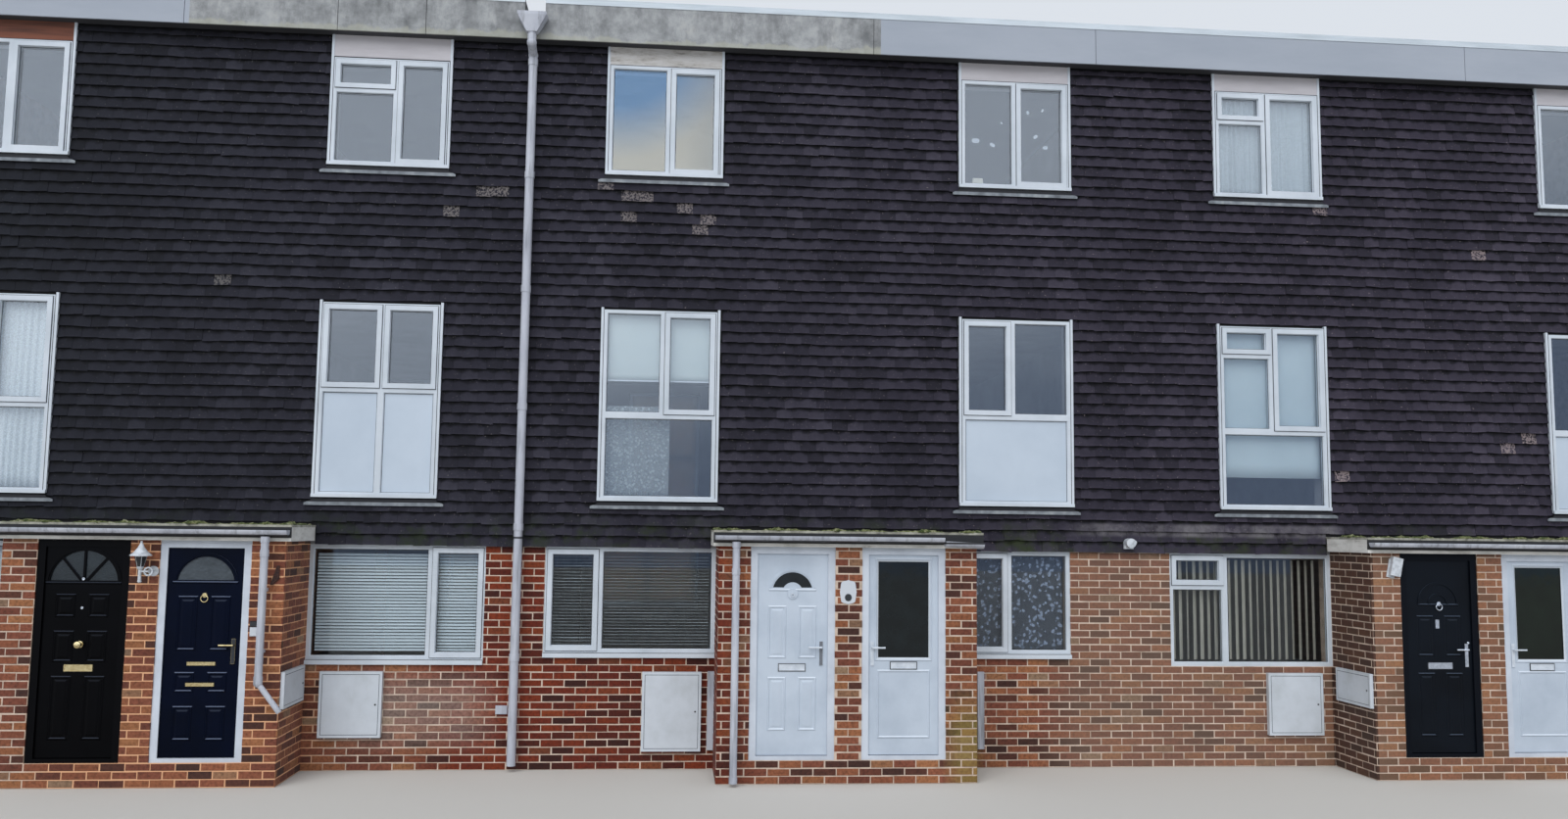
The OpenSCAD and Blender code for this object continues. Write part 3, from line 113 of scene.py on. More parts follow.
camera = bpy.data.objects.new("camera", bpy.data.cameras.new("camera"))
camera.data.lens, camera.data.sensor_width = CAMERA_LENS, CAMERA_SENSOR
camera.data.clip_end = CAMERA_REACH
camera.matrix_world = (Matrix.Translation(CAMERA_AT)
                       @ Matrix.Rotation(math.radians(-CAMERA_TURN), 4, "Z")
                       @ Matrix.Rotation(math.radians(90 + CAMERA_PITCH), 4, "X")
                       @ Matrix.Rotation(math.radians(CAMERA_ROLL), 4, "Z"))
bpy.context.scene.collection.objects.link(camera)
bpy.context.scene.camera = camera

sun = bpy.data.objects.new("sun", bpy.data.lights.new("sun", "SUN"))
sun.data.energy, sun.data.angle = SUN_STRENGTH, math.radians(SUN_SPREAD)
sun.rotation_euler = (math.radians(SUN_TILT), 0.0, math.radians(SUN_TURN))
sun.visible_glossy = False
bpy.context.scene.collection.objects.link(sun)

world = bpy.data.worlds.new("overcast")
bpy.context.scene.world = world
world.use_nodes = True
sky = world.node_tree
sky_lit = sky.nodes["Background"]
sky_lit.inputs["Color"].default_value = linear("#eaf0fa")
sky_lit.inputs["Strength"].default_value = SKY_LIGHT
ray = put(sky, "LightPath")
seen = put(sky, "Math", links={0: ray.outputs["Is Camera Ray"], 1: ray.outputs["Is Transmission Ray"]},
           operation="MAXIMUM")
sky_seen = put(sky, "Background", {"Color": "#e4eaf2", "Strength": SKY_SEEN})
# Panes and gloss paint mirror broken cloud: dim roofs near the horizon, darker to the right,
# lilac grey cloud above them, and one gap of blue with cream cloud at its foot.
direction = put(sky, "TexCoord").outputs["Generated"]
parted = put(sky, "SeparateXYZ", links={"Vector": direction})
billow = put(sky, "TexNoise", {"Scale": 5.0, "Detail": 6.0, "Roughness": 0.6}, {"Vector": direction})
lifted = put(sky, "Math", {1: 0.16, 2: -0.08}, {0: billow}, operation="MULTIPLY_ADD")
tipped = put(sky, "Math", {1: -0.18}, {0: parted.outputs["X"], 2: lifted}, operation="MULTIPLY_ADD")
level = put(sky, "Math", links={0: parted.outputs["Z"], 1: tipped}, operation="ADD")
broken = ramp(sky, level, [(0.0, "#69758a"), (0.06, "#7f8a9c"), (0.12, "#9fa8b6"), (0.2, "#bcc3ce"),
                           (0.36, "#c0c7d2"), (0.6, "#c6cdd7")])
for spot, near, far, code in ((CREAM_CLOUD, 0.03, 0.1, "#fffbf0"), (BLUE_GAP, 0.045, 0.085, "#a2c6ef")):
    away = put(sky, "VectorMath", {1: spot}, {0: direction}, operation="DISTANCE").outputs["Value"]
    share = put(sky, "MapRange", {"From Min": near, "From Max": far, "To Min": 1.0, "To Max": 0.0},
                {"Value": away})
    broken = put(sky, "MixRGB", {"Color2": code}, {"Fac": share, "Color1": broken})
sky_mirrored = put(sky, "Background", {"Strength": SKY_MIRRORED}, {"Color": broken})
sky_mix = put(sky, "MixShader", links={0: seen, 1: sky_lit, 2: sky_seen})
sky_all = put(sky, "MixShader", links={0: ray.outputs["Is Glossy Ray"], 1: sky_mix, 2: sky_mirrored})
feed(sky, sky_all, sky.nodes["World Output"].inputs["Surface"])


def mesh_piece(name, vertices, faces, material, slot=None, body="root", smooth=False):
    """Makes one piece from an array of points and an array of polygons of one size, and
    lets it ride on a body."""
    mesh = bpy.data.meshes.new(name)
    vertices = np.asarray(vertices, dtype=np.float32).reshape(-1, 3)
    faces = np.asarray(faces, dtype=np.int32)
    sides = faces.shape[1]
    mesh.vertices.add(len(vertices))
    mesh.vertices.foreach_set("co", vertices.ravel())
    mesh.loops.add(faces.size)
    mesh.loops.foreach_set("vertex_index", faces.ravel())
    mesh.polygons.add(len(faces))
    mesh.polygons.foreach_set("loop_start", np.arange(0, faces.size, sides, dtype=np.int32))
    mesh.polygons.foreach_set("use_smooth", np.full(len(faces), smooth))
    mesh.update(calc_edges=True)
    mesh.validate()
    mesh.materials.append(material)
    piece = bpy.data.objects.new(name, mesh)
    bpy.context.scene.collection.objects.link(piece)
    if body:
        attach(piece, body)
    return piece


floor_corners = [(FLOOR_HALF * x, FLOOR_HALF * y, FLOOR_Z) for x, y in ((-1, -1), (1, -1), (1, 1), (-1, 1))]
floor_material = surface("pale_floor", "#c9c6c0", Roughness=0.9)[0]
mesh_piece("floor", floor_corners, [(0, 1, 2, 3)], floor_material, body=None)


# Floor slabs, lobby floors and the walls inside.
# Concrete slabs with a trowelled top carry the rooms. The party walls and the inner faces of
# the front and rear walls are plastered and painted a warm white long ago.
def finish(material, *names):
    """Gives construction nodes their material in every slot."""
    for name in names:
        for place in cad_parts[name].material_slots:
            place.material = material


def mottle(tree, scale, stops, detail=5.0, roughness=0.6, stretch=(1, 1, 1)):
    """Cloudy variation: noise on object coordinates in metres, stretched and coloured. Returns
    the colour and the noise."""
    place = put(tree, "TexCoord").outputs["Object"]
    turned = put(tree, "Mapping", {"Scale": stretch}, {"Vector": place})
    noise = put(tree, "TexNoise", {"Scale": scale, "Detail": detail, "Roughness": roughness},
                {"Vector": turned})
    return ramp(tree, noise, stops), noise


def dress(tree, shader, colour, height=None, depth=0.0):
    """Gives a shader its colour and a bump of a depth in metres from a height of 0 to 1."""
    feed(tree, colour, shader.inputs["Base Color"])
    if depth:
        bump = put(tree, "Bump", {"Strength": 1.0, "Distance": depth}, {"Height": height})
        feed(tree, bump, shader.inputs["Normal"])


def clouded(name, scale, stops, *nodes, depth=0.0, detail=5.0, roughness=0.6, stretch=(1, 1, 1), **sockets):
    """A material of cloudy colour with a bump from the same noise, given to some nodes."""
    made, tree, shader = surface(name, **sockets)
    colour, grain = mottle(tree, scale, stops, detail, roughness, stretch)
    dress(tree, shader, colour, grain, depth)
    finish(made, *nodes)
    return made


clouded("trowelled_concrete", 5.0, [(0.3, "#7d7a73"), (0.7, "#a29e95")], "ground_slab", "porch_floors",
        depth=0.002, Roughness=0.88)
clouded("painted_plaster", 1.3, [(0.35, "#85868a"), (0.65, "#9c9da0")], "upper_floors", "party_walls",
        "upper_posts", "upper_spandrels", depth=0.001, Roughness=0.85)


# Brickwork of the ground floor, the porches and the two end walls.
# Pressed clay facing bricks of 215 by 65 mm, red-brown with plum and orange ones among them,
# laid in stretcher bond on 12 mm beds of pale cement mortar struck a little behind their face.
BRICK, COURSE, JOINT = 0.213, 0.075, 0.012
FORMAT = BRICK + JOINT
HALF_BRICK = 0.1075
BRICK_PROUD, BRICK_OUT_BY = 0.0034, 0.0006
BRICK_CHAMFER, BRICK_WOBBLE = 0.0035, 0.0026
BRICK_DEEP = 0.012
SMALLEST_CUT, THINNEST_CUT = 0.022, 0.02
TOUCH = 0.01


def laid(u0, u1, z0, z1, openings=(), shift=0.0, format_=FORMAT, course=COURSE, joint=JOINT):
    """Rows of units in half bond over a rectangle of wall. Unit n of course k runs from
    n + k / 2 formats, and is cut at the ends of the wall and at each opening that its course
    meets. Returns an array of left, right, bottom and top."""
    rows = np.arange(math.ceil((z1 - z0) / course - 1e-6))
    units = np.arange(math.floor((u0 - shift) / format_) - 1, math.ceil((u1 - shift) / format_) + 1)
    k, n = [grid.ravel() for grid in np.meshgrid(rows, units, indexing="ij")]
    left = (n + 0.5 * (k % 2)) * format_ + shift + joint / 2
    bottom = z0 + k * course + joint / 2
    cells = np.stack([left, left + format_ - joint, bottom, bottom + course - joint], 1)
    cells[:, [0, 2]] = np.maximum(cells[:, [0, 2]], [u0, z0])
    cells[:, [1, 3]] = np.minimum(cells[:, [1, 3]], [u1, z1])
    for a, b, low, high in openings:
        meets = (cells[:, 3] > low + TOUCH) & (cells[:, 2] < high - TOUCH)
        meets &= (cells[:, 1] > a) & (cells[:, 0] < b)
        lefts, rights = cells[meets].copy(), cells[meets].copy()
        lefts[:, 1] = a
        rights[:, 0] = b
        cells = np.concatenate([cells[~meets], lefts, rights])
    size = (cells[:, 1] - cells[:, 0] > SMALLEST_CUT) & (cells[:, 3] - cells[:, 2] > THINNEST_CUT)
    return cells[size]


def bands(rings, n):
    """Quads that join each of some rings of n points to the next one."""
    i, j = np.arange(rings - 1)[:, None] * n, np.arange(n)[None]
    after = (j + 1) % n
    return np.stack([i + j, i + after, i + after + n, i + j + n], 2).reshape(-1, 4)


def repeated(one, each, count):
    """The faces of one shape, numbered on for its copies, which have the same points each."""
    return (np.asarray(one)[None] + each * np.arange(count)[:, None, None]).reshape(-1, 4)


def brick_boxes(cells, face, axis, side):
    """Closed blocks with a chamfered outer face. Each stands a random half millimetre more or
    less in front of the mortar. axis is the wall's normal, 0 or 1, and side its direction."""
    count = len(cells)
    proud = BRICK_PROUD + rng.uniform(-BRICK_OUT_BY, BRICK_OUT_BY, count)
    edge = cells + rng.uniform(-BRICK_WOBBLE, BRICK_WOBBLE, (count, 4))
    u, z = edge[:, [0, 1, 1, 0]], edge[:, [2, 2, 3, 3]]
    inward = np.array([1, -1, -1, 1]) * BRICK_CHAMFER
    upward = np.array([1, 1, -1, -1]) * BRICK_CHAMFER
    depth = np.stack([np.full(count, -BRICK_DEEP), proud - BRICK_CHAMFER * 0.6, proud], 1)
    points = np.empty((count, 3, 4, 3))
    points[..., 1 - axis] = np.stack([u, u, u + inward], 1)
    points[..., axis] = face + side * depth[..., None]
    points[..., 2] = np.stack([z, z, z + upward], 1)
    one = np.concatenate([bands(3, 4), [[8, 9, 10, 11], [3, 2, 1, 0]]])
    if (side > 0) == (axis == 1):
        one = one[:, ::-1]
    return points.reshape(-1, 3), repeated(one, 12, count), np.repeat(rng.random(count), 12)


def joined(parts):
    """Joins parts into single arrays, each part its points, its faces and any values a point."""
    starts = np.cumsum([0] + [len(part[0]) for part in parts[:-1]])
    columns = list(zip(*parts))
    columns[1] = [faces + start for faces, start in zip(columns[1], starts)]
    return [np.concatenate(column) for column in columns]


def toned(piece, tones, name="tone"):
    """Stores one value a point, for the material to pick each unit's own colour."""
    piece.data.attributes.new(name, "FLOAT", "POINT").data.foreach_set("value", tones.astype(np.float32))


def solids(name):
    """Boxes of a node's separate solids: points in the same place share a number, the lowest
    number spreads over each triangle until nothing changes, and what shares it is one solid."""
    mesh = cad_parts[name].data
    mesh.calc_loop_triangles()
    places = np.empty(len(mesh.vertices) * 3, dtype=np.float32)
    mesh.vertices.foreach_get("co", places)
    places = places.reshape(-1, 3)
    corners = np.empty(len(mesh.loop_triangles) * 3, dtype=np.int32)
    mesh.loop_triangles.foreach_get("vertices", corners)
    shared = np.unique(np.round(places, 5), axis=0, return_inverse=True)[1].reshape(-1)
    triangles = shared[corners.reshape(-1, 3)]
    label = np.arange(shared.max() + 1)
    while True:
        lowest = label[triangles].min(1)
        spread = label.copy()
        np.minimum.at(spread, triangles.ravel(), np.repeat(lowest, 3))
        spread = spread[spread]
        if (spread == label).all():
            break
        label = spread
    owner = label[shared]
    boxes = np.array([[places[owner == k].min(0), places[owner == k].max(0)] for k in np.unique(owner)])
    return boxes[np.lexsort((boxes[:, 0, 2].round(3), boxes[:, 0, 0].round(3), boxes[:, 0, 1].round(1)))]


def on_side(boxes, side):
    """Those boxes that lie at the front, side -1, or at the rear, side 1."""
    return [b for b in boxes if (b[0][1] > 0) == (side > 0)]


def coordinate(tree, axis):
    """Object coordinate along an axis, in metres."""
    place = put(tree, "TexCoord").outputs["Object"]
    return put(tree, "SeparateXYZ", links={"Vector": place}).outputs[axis]


def zone(tree, axis, middle, half, soft):
    """1 where the coordinate along an axis lies within half of middle, and 0 beyond soft more."""
    apart = put(tree, "Math", {1: middle}, {0: coordinate(tree, axis)}, operation="SUBTRACT")
    far = put(tree, "Math", links={0: apart}, operation="ABSOLUTE")
    return put(tree, "MapRange", {"From Min": half, "From Max": half + soft, "To Min": 1.0, "To Max": 0.0},
               {"Value": far})


def stain(tree, colour, code, *masks, strength=1.0, blend="MIX"):
    """Lays one colour over another, in a share of strength times the product of all masks."""
    share = masks[0]
    for mask in masks[1:]:
        share = put(tree, "Math", links={0: share, 1: mask}, operation="MULTIPLY")
    if strength < 1:
        share = put(tree, "Math", {1: strength}, {0: share}, operation="MULTIPLY")
    return put(tree, "MixRGB", {"Color2": code}, {"Fac": share, "Color1": colour}, blend_type=blend)


def soiled(tree, colour, amount, scale, stops, **how):
    """Darkens a colour by an amount of cloudy variation. Returns the colour and the noise."""
    film, noise = mottle(tree, scale, stops, **how)
    mixed = put(tree, "MixRGB", {"Fac": amount}, {"Color1": colour, "Color2": film}, blend_type="MULTIPLY")
    return mixed, noise


mortar, tree, shader = surface("cement_mortar", Roughness=0.93)
colour = mottle(tree, 7.0, [(0.3, "#a69586"), (0.52, "#cbb8a8"), (0.75, "#decbbb")])[0]
peach = stain(tree, colour, "#dba983", zone(tree, "X", -6.4, 1.0, 0.3))
place = put(tree, "TexCoord").outputs["Object"]
sand = put(tree, "TexNoise", {"Scale": 420.0, "Detail": 2.0}, {"Vector": place})
dress(tree, shader, peach, sand, 0.0012)
finish(mortar, "end_walls", "ground_piers", "dwarf_walls", "porch_walls", "porch_front_piers", "door_steps")

facing_brick, tree, shader = surface("clay_facing_brick", Roughness=0.86)
tone = put(tree, "Attribute", attribute_name="tone").outputs["Fac"]
colour = ramp(tree, tone, [(0.0, "#422922"), (0.1, "#5a362b"), (0.24, "#774536"), (0.45, "#8a5240"),
                           (0.65, "#955c44"), (0.82, "#a16748"), (0.94, "#a9744f"), (0.985, "#8d7460"),
                           (1.0, "#a78a6e")])
colour, cloud = soiled(tree, colour, 0.6, 34.0, [(0.33, "#574d48"), (0.48, "#cdc2ba"), (0.66, "#ffffff")],
                       detail=7.0)
colour = soiled(tree, colour, 0.45, 0.9, [(0.35, "#9c938c"), (0.6, "#ffffff")], detail=4.0)[0]
# Redder bricks under the third house's window, duller and browner ones to the right, and the
# left side of the third porch darker.
colour = stain(tree, colour, "#cf9077", zone(tree, "X", -2.6, 1.3, 0.5), blend="MULTIPLY")
colour = stain(tree, colour, "#7e6a5c", zone(tree, "X", 3.9, 1.3, 0.5), strength=0.42)
colour = stain(tree, colour, "#8a7058", zone(tree, "X", 6.9, 1.5, 0.4), strength=0.34)
colour = stain(tree, colour, "#94898a", zone(tree, "X", 5.398, 0.018, 0.004), blend="MULTIPLY")
# Whitish bloom under one window, and ochre algae low on a pier of the middle porch.
colour = stain(tree, colour, "#c4bab0", zone(tree, "X", -4.3, 0.5, 0.4), zone(tree, "Z", 0.6, 0.15, 0.3),
               cloud, strength=0.4)
colour = stain(tree, colour, "#8a7d3f", zone(tree, "X", 1.25, 0.12, 0.2), zone(tree, "Z", 0.2, 0.35, 0.4),
               cloud)
dress(tree, shader, colour, cloud, 0.0022)

rng = np.random.default_rng(7)
front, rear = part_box("ground_piers")[0][1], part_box("ground_piers")[1][1]
end_low, end_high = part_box("end_walls")
tile_low, tile_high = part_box("tile_hanging")
porch_front, porch_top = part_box("porch_front_piers")[0][1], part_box("porch_front_piers")[1][2]
ground_windows, sills = solids("window_frames_ground"), solids("window_sills")
porch_blocks = solids("porch_roofs")


def window_holes(side):
    """Openings in the wall for the windows of one side, each let down to the foot of its sill."""
    holes = []
    for low, high in on_side(ground_windows, side):
        under = [sill[0][2] for sill in on_side(sills, side) if abs(sill[0][0] - low[0]) < TOUCH]
        holes.append((low[0], high[0], (under + [low[2]])[0], high[2]))
    return holes


def brickwork(name, walls):
    """One piece of all the bricks of some walls, each brick with a tone of its own."""
    points, faces, tones = joined([brick_boxes(*wall) for wall in walls])
    toned(mesh_piece(name, points, faces, facing_brick, "brick"), tones)


PORCH_EAVE = 0.058
porch_spans = [(low[0] + PORCH_EAVE, high[0] - PORCH_EAVE) for low, high in porch_blocks]
front_holes = window_holes(-1) + [(a, b, 0.0, tile_low[2]) for a, b in porch_spans]
rear_holes = window_holes(1) + [(low[0], high[0], low[2], high[2]) for low, high in solids("rear_doors")]
door_holes = [(low[0], high[0], high[2], porch_top) for low, high in solids("door_steps")]
brickwork("bricks_front", [(laid(end_low[0], end_high[0], 0.0, tile_low[2], front_holes), front, 1, -1)])
brickwork("bricks_rear", [(laid(end_low[0], end_high[0], 0.0, tile_low[2], rear_holes), rear, 1, 1)])
walls = []
for a, b in porch_spans:
    walls.append((laid(a, b, 0.0, porch_top, door_holes), porch_front, 1, -1))
    flank = laid(porch_front, front, 0.0, porch_top, shift=HALF_BRICK)
    walls += [(flank, a, 0, -1), (flank, b, 0, 1)]
brickwork("bricks_porches", walls)
gable = laid(end_low[1], end_high[1], 0.0, end_high[2])
brickwork("bricks_end_walls", [(gable, end_low[0], 0, -1), (gable, end_high[0], 0, 1)])


# Plain tiles hung on the front and rear of both upper storeys.
# Charcoal concrete tiles 167 mm wide, nailed to battens at a gauge of 114 mm, so that each
# course stands off the one below it. The top of each tile's face is painted black, the painted
# shadow of the course above. A few have spalled, below two windows and at the edges of repairs.
TILE_W, GAUGE, TILE_GAP, TILE_T = 0.167, 0.1141, 0.001, 0.012
TILE_LEAN, TILE_CAMBER, TILE_TAIL = 0.020, 0.003, 0.024
TILE_CROOKED, TILE_SHIFTED, TILE_WAVE = 0.005, 0.0026, 0.0035
TILE_OUT_BY, TILE_OUT_MOST = 0.0013, 0.003
SHADED_HEAD_MIDDLE = 0.8
SPALLED = np.array([(-2.51, 6.0), (-2.25, 6.0), (-2.09, 6.0), (-2.27, 5.81), (-1.66, 5.81), (-1.44, 5.8),
                    (-2.21, 5.7), (-1.48, 5.58), (-3.83, 5.92), (-3.68, 5.93), (-4.06, 5.7), (-3.87, 5.71),
                    (5.31, 6.05), (7.47, 3.5), (7.73, 3.61), (5.54, 3.14), (-6.4, 4.93), (7.29, 5.62)])
SPALL_NEAR = 0.075
SIDE_BOARD, SIDE_BOARD_OVER, SIDE_BOARD_HEAD = 0.026, 0.018, 0.06
SECOND_FLOOR, BEYOND = 5.5, 1.0
first_frames, second_frames = solids("window_frames_first"), solids("window_frames_second")
upper_windows = np.concatenate([first_frames, second_frames])


def hung(cells, face, side):
    """Closed slabs, each with a cambered face that leans back from its foot to its head. The
    foot is proud by a random millimetre or two and hangs a little crooked, the courses wave
    slowly as the product of two sines, and the face bulges in the middle of its width."""
    count = len(cells)
    across = np.array([0.0, 0.5, 1.0])
    x, z = cells[:, :1], cells[:, 2:3]
    crooked = rng.normal(0.0, TILE_CROOKED, (count, 1)) * (across - 0.5)
    crooked = crooked + rng.normal(0.0, TILE_SHIFTED, (count, 1))
    wave = TILE_WAVE * np.sin(1.9 * x + 2.7 * z) * np.sin(0.7 * x - 1.1 * z)
    out = rng.normal(0.0, TILE_OUT_BY, (count, 1)).clip(-TILE_OUT_MOST, TILE_OUT_MOST) - TILE_OUT_MOST
    u = x + (cells[:, 1:2] - x) * across
    foot_z = z + crooked + wave
    head_z = np.repeat(cells[:, 3:4] + TILE_TAIL, 3, 1)
    foot_y = out + TILE_CAMBER * (1 - (2 * across - 1) ** 2) - TILE_CAMBER
    head_y = foot_y - TILE_LEAN * (head_z - foot_z) / GAUGE
    points = np.empty((count, 2, 2, 3, 3))
    for back in (0, 1):
        for head, (y, z) in enumerate(((foot_y, foot_z), (head_y, head_z))):
            points[:, back, head] = np.stack([u, face + side * (y - back * TILE_T), z], 2)
    one = np.array([[0, 1, 4, 3], [1, 2, 5, 4], [7, 6, 9, 10], [8, 7, 10, 11], [6, 7, 1, 0], [7, 8, 2, 1],
                    [3, 4, 10, 9], [4, 5, 11, 10], [6, 0, 3, 9], [2, 8, 11, 5]])
    if side > 0:
        one = one[:, ::-1]
    # rise runs from 0 at the foot to 1 at the head, less in the middle of the head, and places the painted
    # shadow of the course above.
    rise = np.tile([0.0, 0.0, 0.0, 1.0, SHADED_HEAD_MIDDLE, 1.0], (count, 2)).ravel()
    middle = (cells[:, [0, 2]] + cells[:, [1, 3]]) / 2
    near = np.linalg.norm(middle[:, None] - SPALLED[None], axis=2).min(1) < SPALL_NEAR
    tones = np.repeat(rng.random(count), 12)
    return points.reshape(-1, 3), repeated(one, 12, count), tones, rise, np.repeat(near * (side < 0), 12)


def tile_holes(side):
    """Openings in the tiles of one side. The upper windows reach the soffit. Over each lower
    one the tiles come down to its head, between side boards that stand a little higher. The
    front has openings for the porch roofs too."""
    holes = []
    for low, high in on_side(upper_windows, side):
        if low[2] > SECOND_FLOOR:
            holes.append((low[0], high[0], low[2], tile_high[2] + BEYOND))
        else:
            holes.append((low[0], high[0], low[2], high[2] - SIDE_BOARD_OVER))
            holes += [(x, x + SIDE_BOARD, high[2] - SIDE_BOARD_HEAD, high[2])
                      for x in (low[0], high[0] - SIDE_BOARD)]
    if side < 0:
        holes += [(low[0], high[0], tile_low[2] - BEYOND, high[2]) for low, high in porch_blocks]
    return holes


hung_tile, tree, shader = surface("charcoal_concrete_tile", Roughness=0.8, Specular_IOR_Level=0.25)
place = put(tree, "TexCoord").outputs["Object"]
tone, rise, spall = [put(tree, "Attribute", attribute_name=name).outputs["Fac"]
                     for name in ("tone", "rise", "spall")]
colour = ramp(tree, tone, [(0.0, "#2f2e36"), (0.3, "#3c3b45"), (0.75, "#45444e"), (1.0, "#4e4d57")])
colour, cloud = soiled(tree, colour, 0.4, 14.0, [(0.35, "#b0aeb4"), (0.7, "#ffffff")], detail=6.0)
colour = soiled(tree, colour, 0.55, 1.5, [(0.36, "#a6a3ac"), (0.62, "#ffffff")], stretch=(1, 1, 0.4))[0]
# The top of each face is darkened in an uneven band: painted shadow of the course above.
blur = put(tree, "TexNoise", {"Scale": 9.0, "Detail": 4.0}, {"Vector": place})
uneven = put(tree, "Math", {1: 0.36, 2: -0.18}, {0: blur}, operation="MULTIPLY_ADD")
painted_shade_line = put(tree, "Math", links={0: rise, 1: uneven}, operation="ADD")
under = ramp(tree, painted_shade_line, [(0.0, "#ffffff"), (0.14, "#e6e6e8"), (0.45, "#dcdcde"), (0.58, "#8a888e"),
                               (0.68, "#36353a"), (1.0, "#222226")])
colour = put(tree, "MixRGB", {"Fac": 1.0}, {"Color1": colour, "Color2": under}, blend_type="MULTIPLY")
# Pale lichen in small spots and on the spalled tiles, and moss low on the wall.
spots = put(tree, "TexNoise", {"Scale": 46.0, "Detail": 3.0, "Roughness": 0.7}, {"Vector": place})
chipped = put(tree, "Math", {1: 0.2}, {0: spall, 2: spots}, operation="MULTIPLY_ADD")
lichen = put(tree, "MapRange", {"From Min": 0.66, "From Max": 0.72, "To Max": 0.75}, {"Value": chipped})
colour = stain(tree, colour, "#948e8a", lichen)
damp = put(tree, "MapRange", {"From Min": 2.4, "From Max": 2.62, "To Min": 0.8, "To Max": 0.0},
           {"Value": coordinate(tree, "Z")})
growth = put(tree, "TexNoise", {"Scale": 3.2, "Detail": 6.0, "Roughness": 0.7}, {"Vector": place})
patchy = put(tree, "MapRange", {"From Min": 0.5, "From Max": 0.68}, {"Value": growth})
colour = stain(tree, colour, "#2f3a1f", damp, patchy)
# The tiles are blacker towards the left end, and a band low on the right has bleached.
along = put(tree, "MapRange", {"From Min": -9.0, "From Max": 5.0}, {"Value": coordinate(tree, "X")})
darker_leftwards = ramp(tree, along, [(0.0, "#7a8384"), (0.3, "#cdced2"), (1.0, "#f8ecf4")])
colour = put(tree, "MixRGB", {"Fac": 1.0}, {"Color1": colour, "Color2": darker_leftwards}, blend_type="MULTIPLY")
ragged = put(tree, "MapRange", {"From Min": 0.35, "From Max": 0.65, "To Max": 0.7}, {"Value": growth})
colour = stain(tree, colour, "#77747a", zone(tree, "X", 4.1, 1.3, 0.4), zone(tree, "Z", 2.49, 0.05, 0.03),
               ragged)
dress(tree, shader, colour, cloud, 0.0016)

for name, face, side in (("front", tile_low[1], -1), ("rear", tile_high[1], 1)):
    cells = laid(tile_low[0], tile_high[0], tile_low[2], tile_high[2], tile_holes(side),
                 format_=TILE_W + TILE_GAP, course=GAUGE, joint=TILE_GAP)
    cells[:, 3] = np.minimum(cells[:, 3], tile_high[2] - TILE_TAIL)
    points, faces, *values = hung(cells, face, side)
    tiles = mesh_piece("tiles_" + name, points, faces, hung_tile, "tile")
    for attribute, value in zip(("tone", "rise", "spall"), values):
        toned(tiles, value, attribute)


# Wall behind the tiles.
# A plain sheet of felt and battens lies behind the hung tiles and closes the gap to the wall,
# cut back round the windows and the porch roofs.
BOX_FACES = [[0, 1, 5, 4], [1, 2, 6, 5], [2, 3, 7, 6], [3, 0, 4, 7], [3, 2, 1, 0], [4, 5, 6, 7]]
BATTEN_SET = 0.036
SLIVER = 0.001


def wall_plates(cells, near, far):
    """Closed boxes from left, right, bottom and top, between two depths."""
    x = cells[:, [0, 1, 1, 0, 0, 1, 1, 0]]
    z = cells[:, [2, 2, 3, 3, 2, 2, 3, 3]]
    y = np.repeat([[max(near, far)] * 4 + [min(near, far)] * 4], len(cells), 0)
    return np.stack([x, y, z], 2).reshape(-1, 3), repeated(BOX_FACES, 8, len(cells))


def strips(holes, x0, x1, z0, z1):
    """Splits a wall into upright strips at the holes' sides, and each strip into what is left
    between its holes."""
    edges = np.unique(np.clip([x0, x1] + [h[0] for h in holes] + [h[1] for h in holes], x0, x1))
    out = []
    for a, b in zip(edges[:-1], edges[1:]):
        foot = z0
        for low, high in sorted((h[2], h[3]) for h in holes if h[0] < (a + b) / 2 < h[1]):
            if low > foot + SLIVER:
                out.append((a, b, foot, low))
            foot = max(foot, high)
        if foot < z1 - SLIVER:
            out.append((a, b, foot, z1))
    return np.array(out)


parts = []
for face, side, wall in ((tile_low[1], -1, front), (tile_high[1], 1, rear)):
    cells = strips(tile_holes(side), tile_low[0], tile_high[0], tile_low[2], tile_high[2])
    parts.append(wall_plates(cells, face - side * BATTEN_SET, wall))
battens = surface("battens_and_felt", "#1b1a1b", Roughness=0.9)[0]
backing = mesh_piece("tile_backing", *joined(parts), battens, "tile")
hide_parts("tile_hanging")


# Roof: felt deck, edge trim, fascia and soffit.
# The flat roof is felted, with a pressed metal trim along its edge. Its fascia is part old
# grey board that has weathered in dark runs, and part newer smooth grey sheet.
felt, tree, shader = surface("mineral_felt", Roughness=0.95)
colour = mottle(tree, 3.0, [(0.3, "#3b3c3b"), (0.6, "#585955"), (0.8, "#6a6d58")], detail=8.0)[0]
place = put(tree, "TexCoord").outputs["Object"]
grit = put(tree, "TexNoise", {"Scale": 300.0, "Detail": 2.0}, {"Vector": place})
dress(tree, shader, colour, grit, 0.002)
finish(felt, "roof_deck")
clouded("mill_finish_aluminium", 4.0, [(0.3, "#a9b1b5"), (0.7, "#c6cdd1")], "roof_trim", stretch=(0.3, 1, 3),
        Metallic=0.35, Roughness=0.5)

ROW_HALF = 10.13
OLD_FROM, OLD_TO, OLD_AGAIN = -6.858, 0.319, 8.6
FASCIA_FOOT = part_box("fascias")[0][2]


def at(x):
    """Place of an X along the row as a share of its length."""
    return (x + ROW_HALF) / (2 * ROW_HALF)


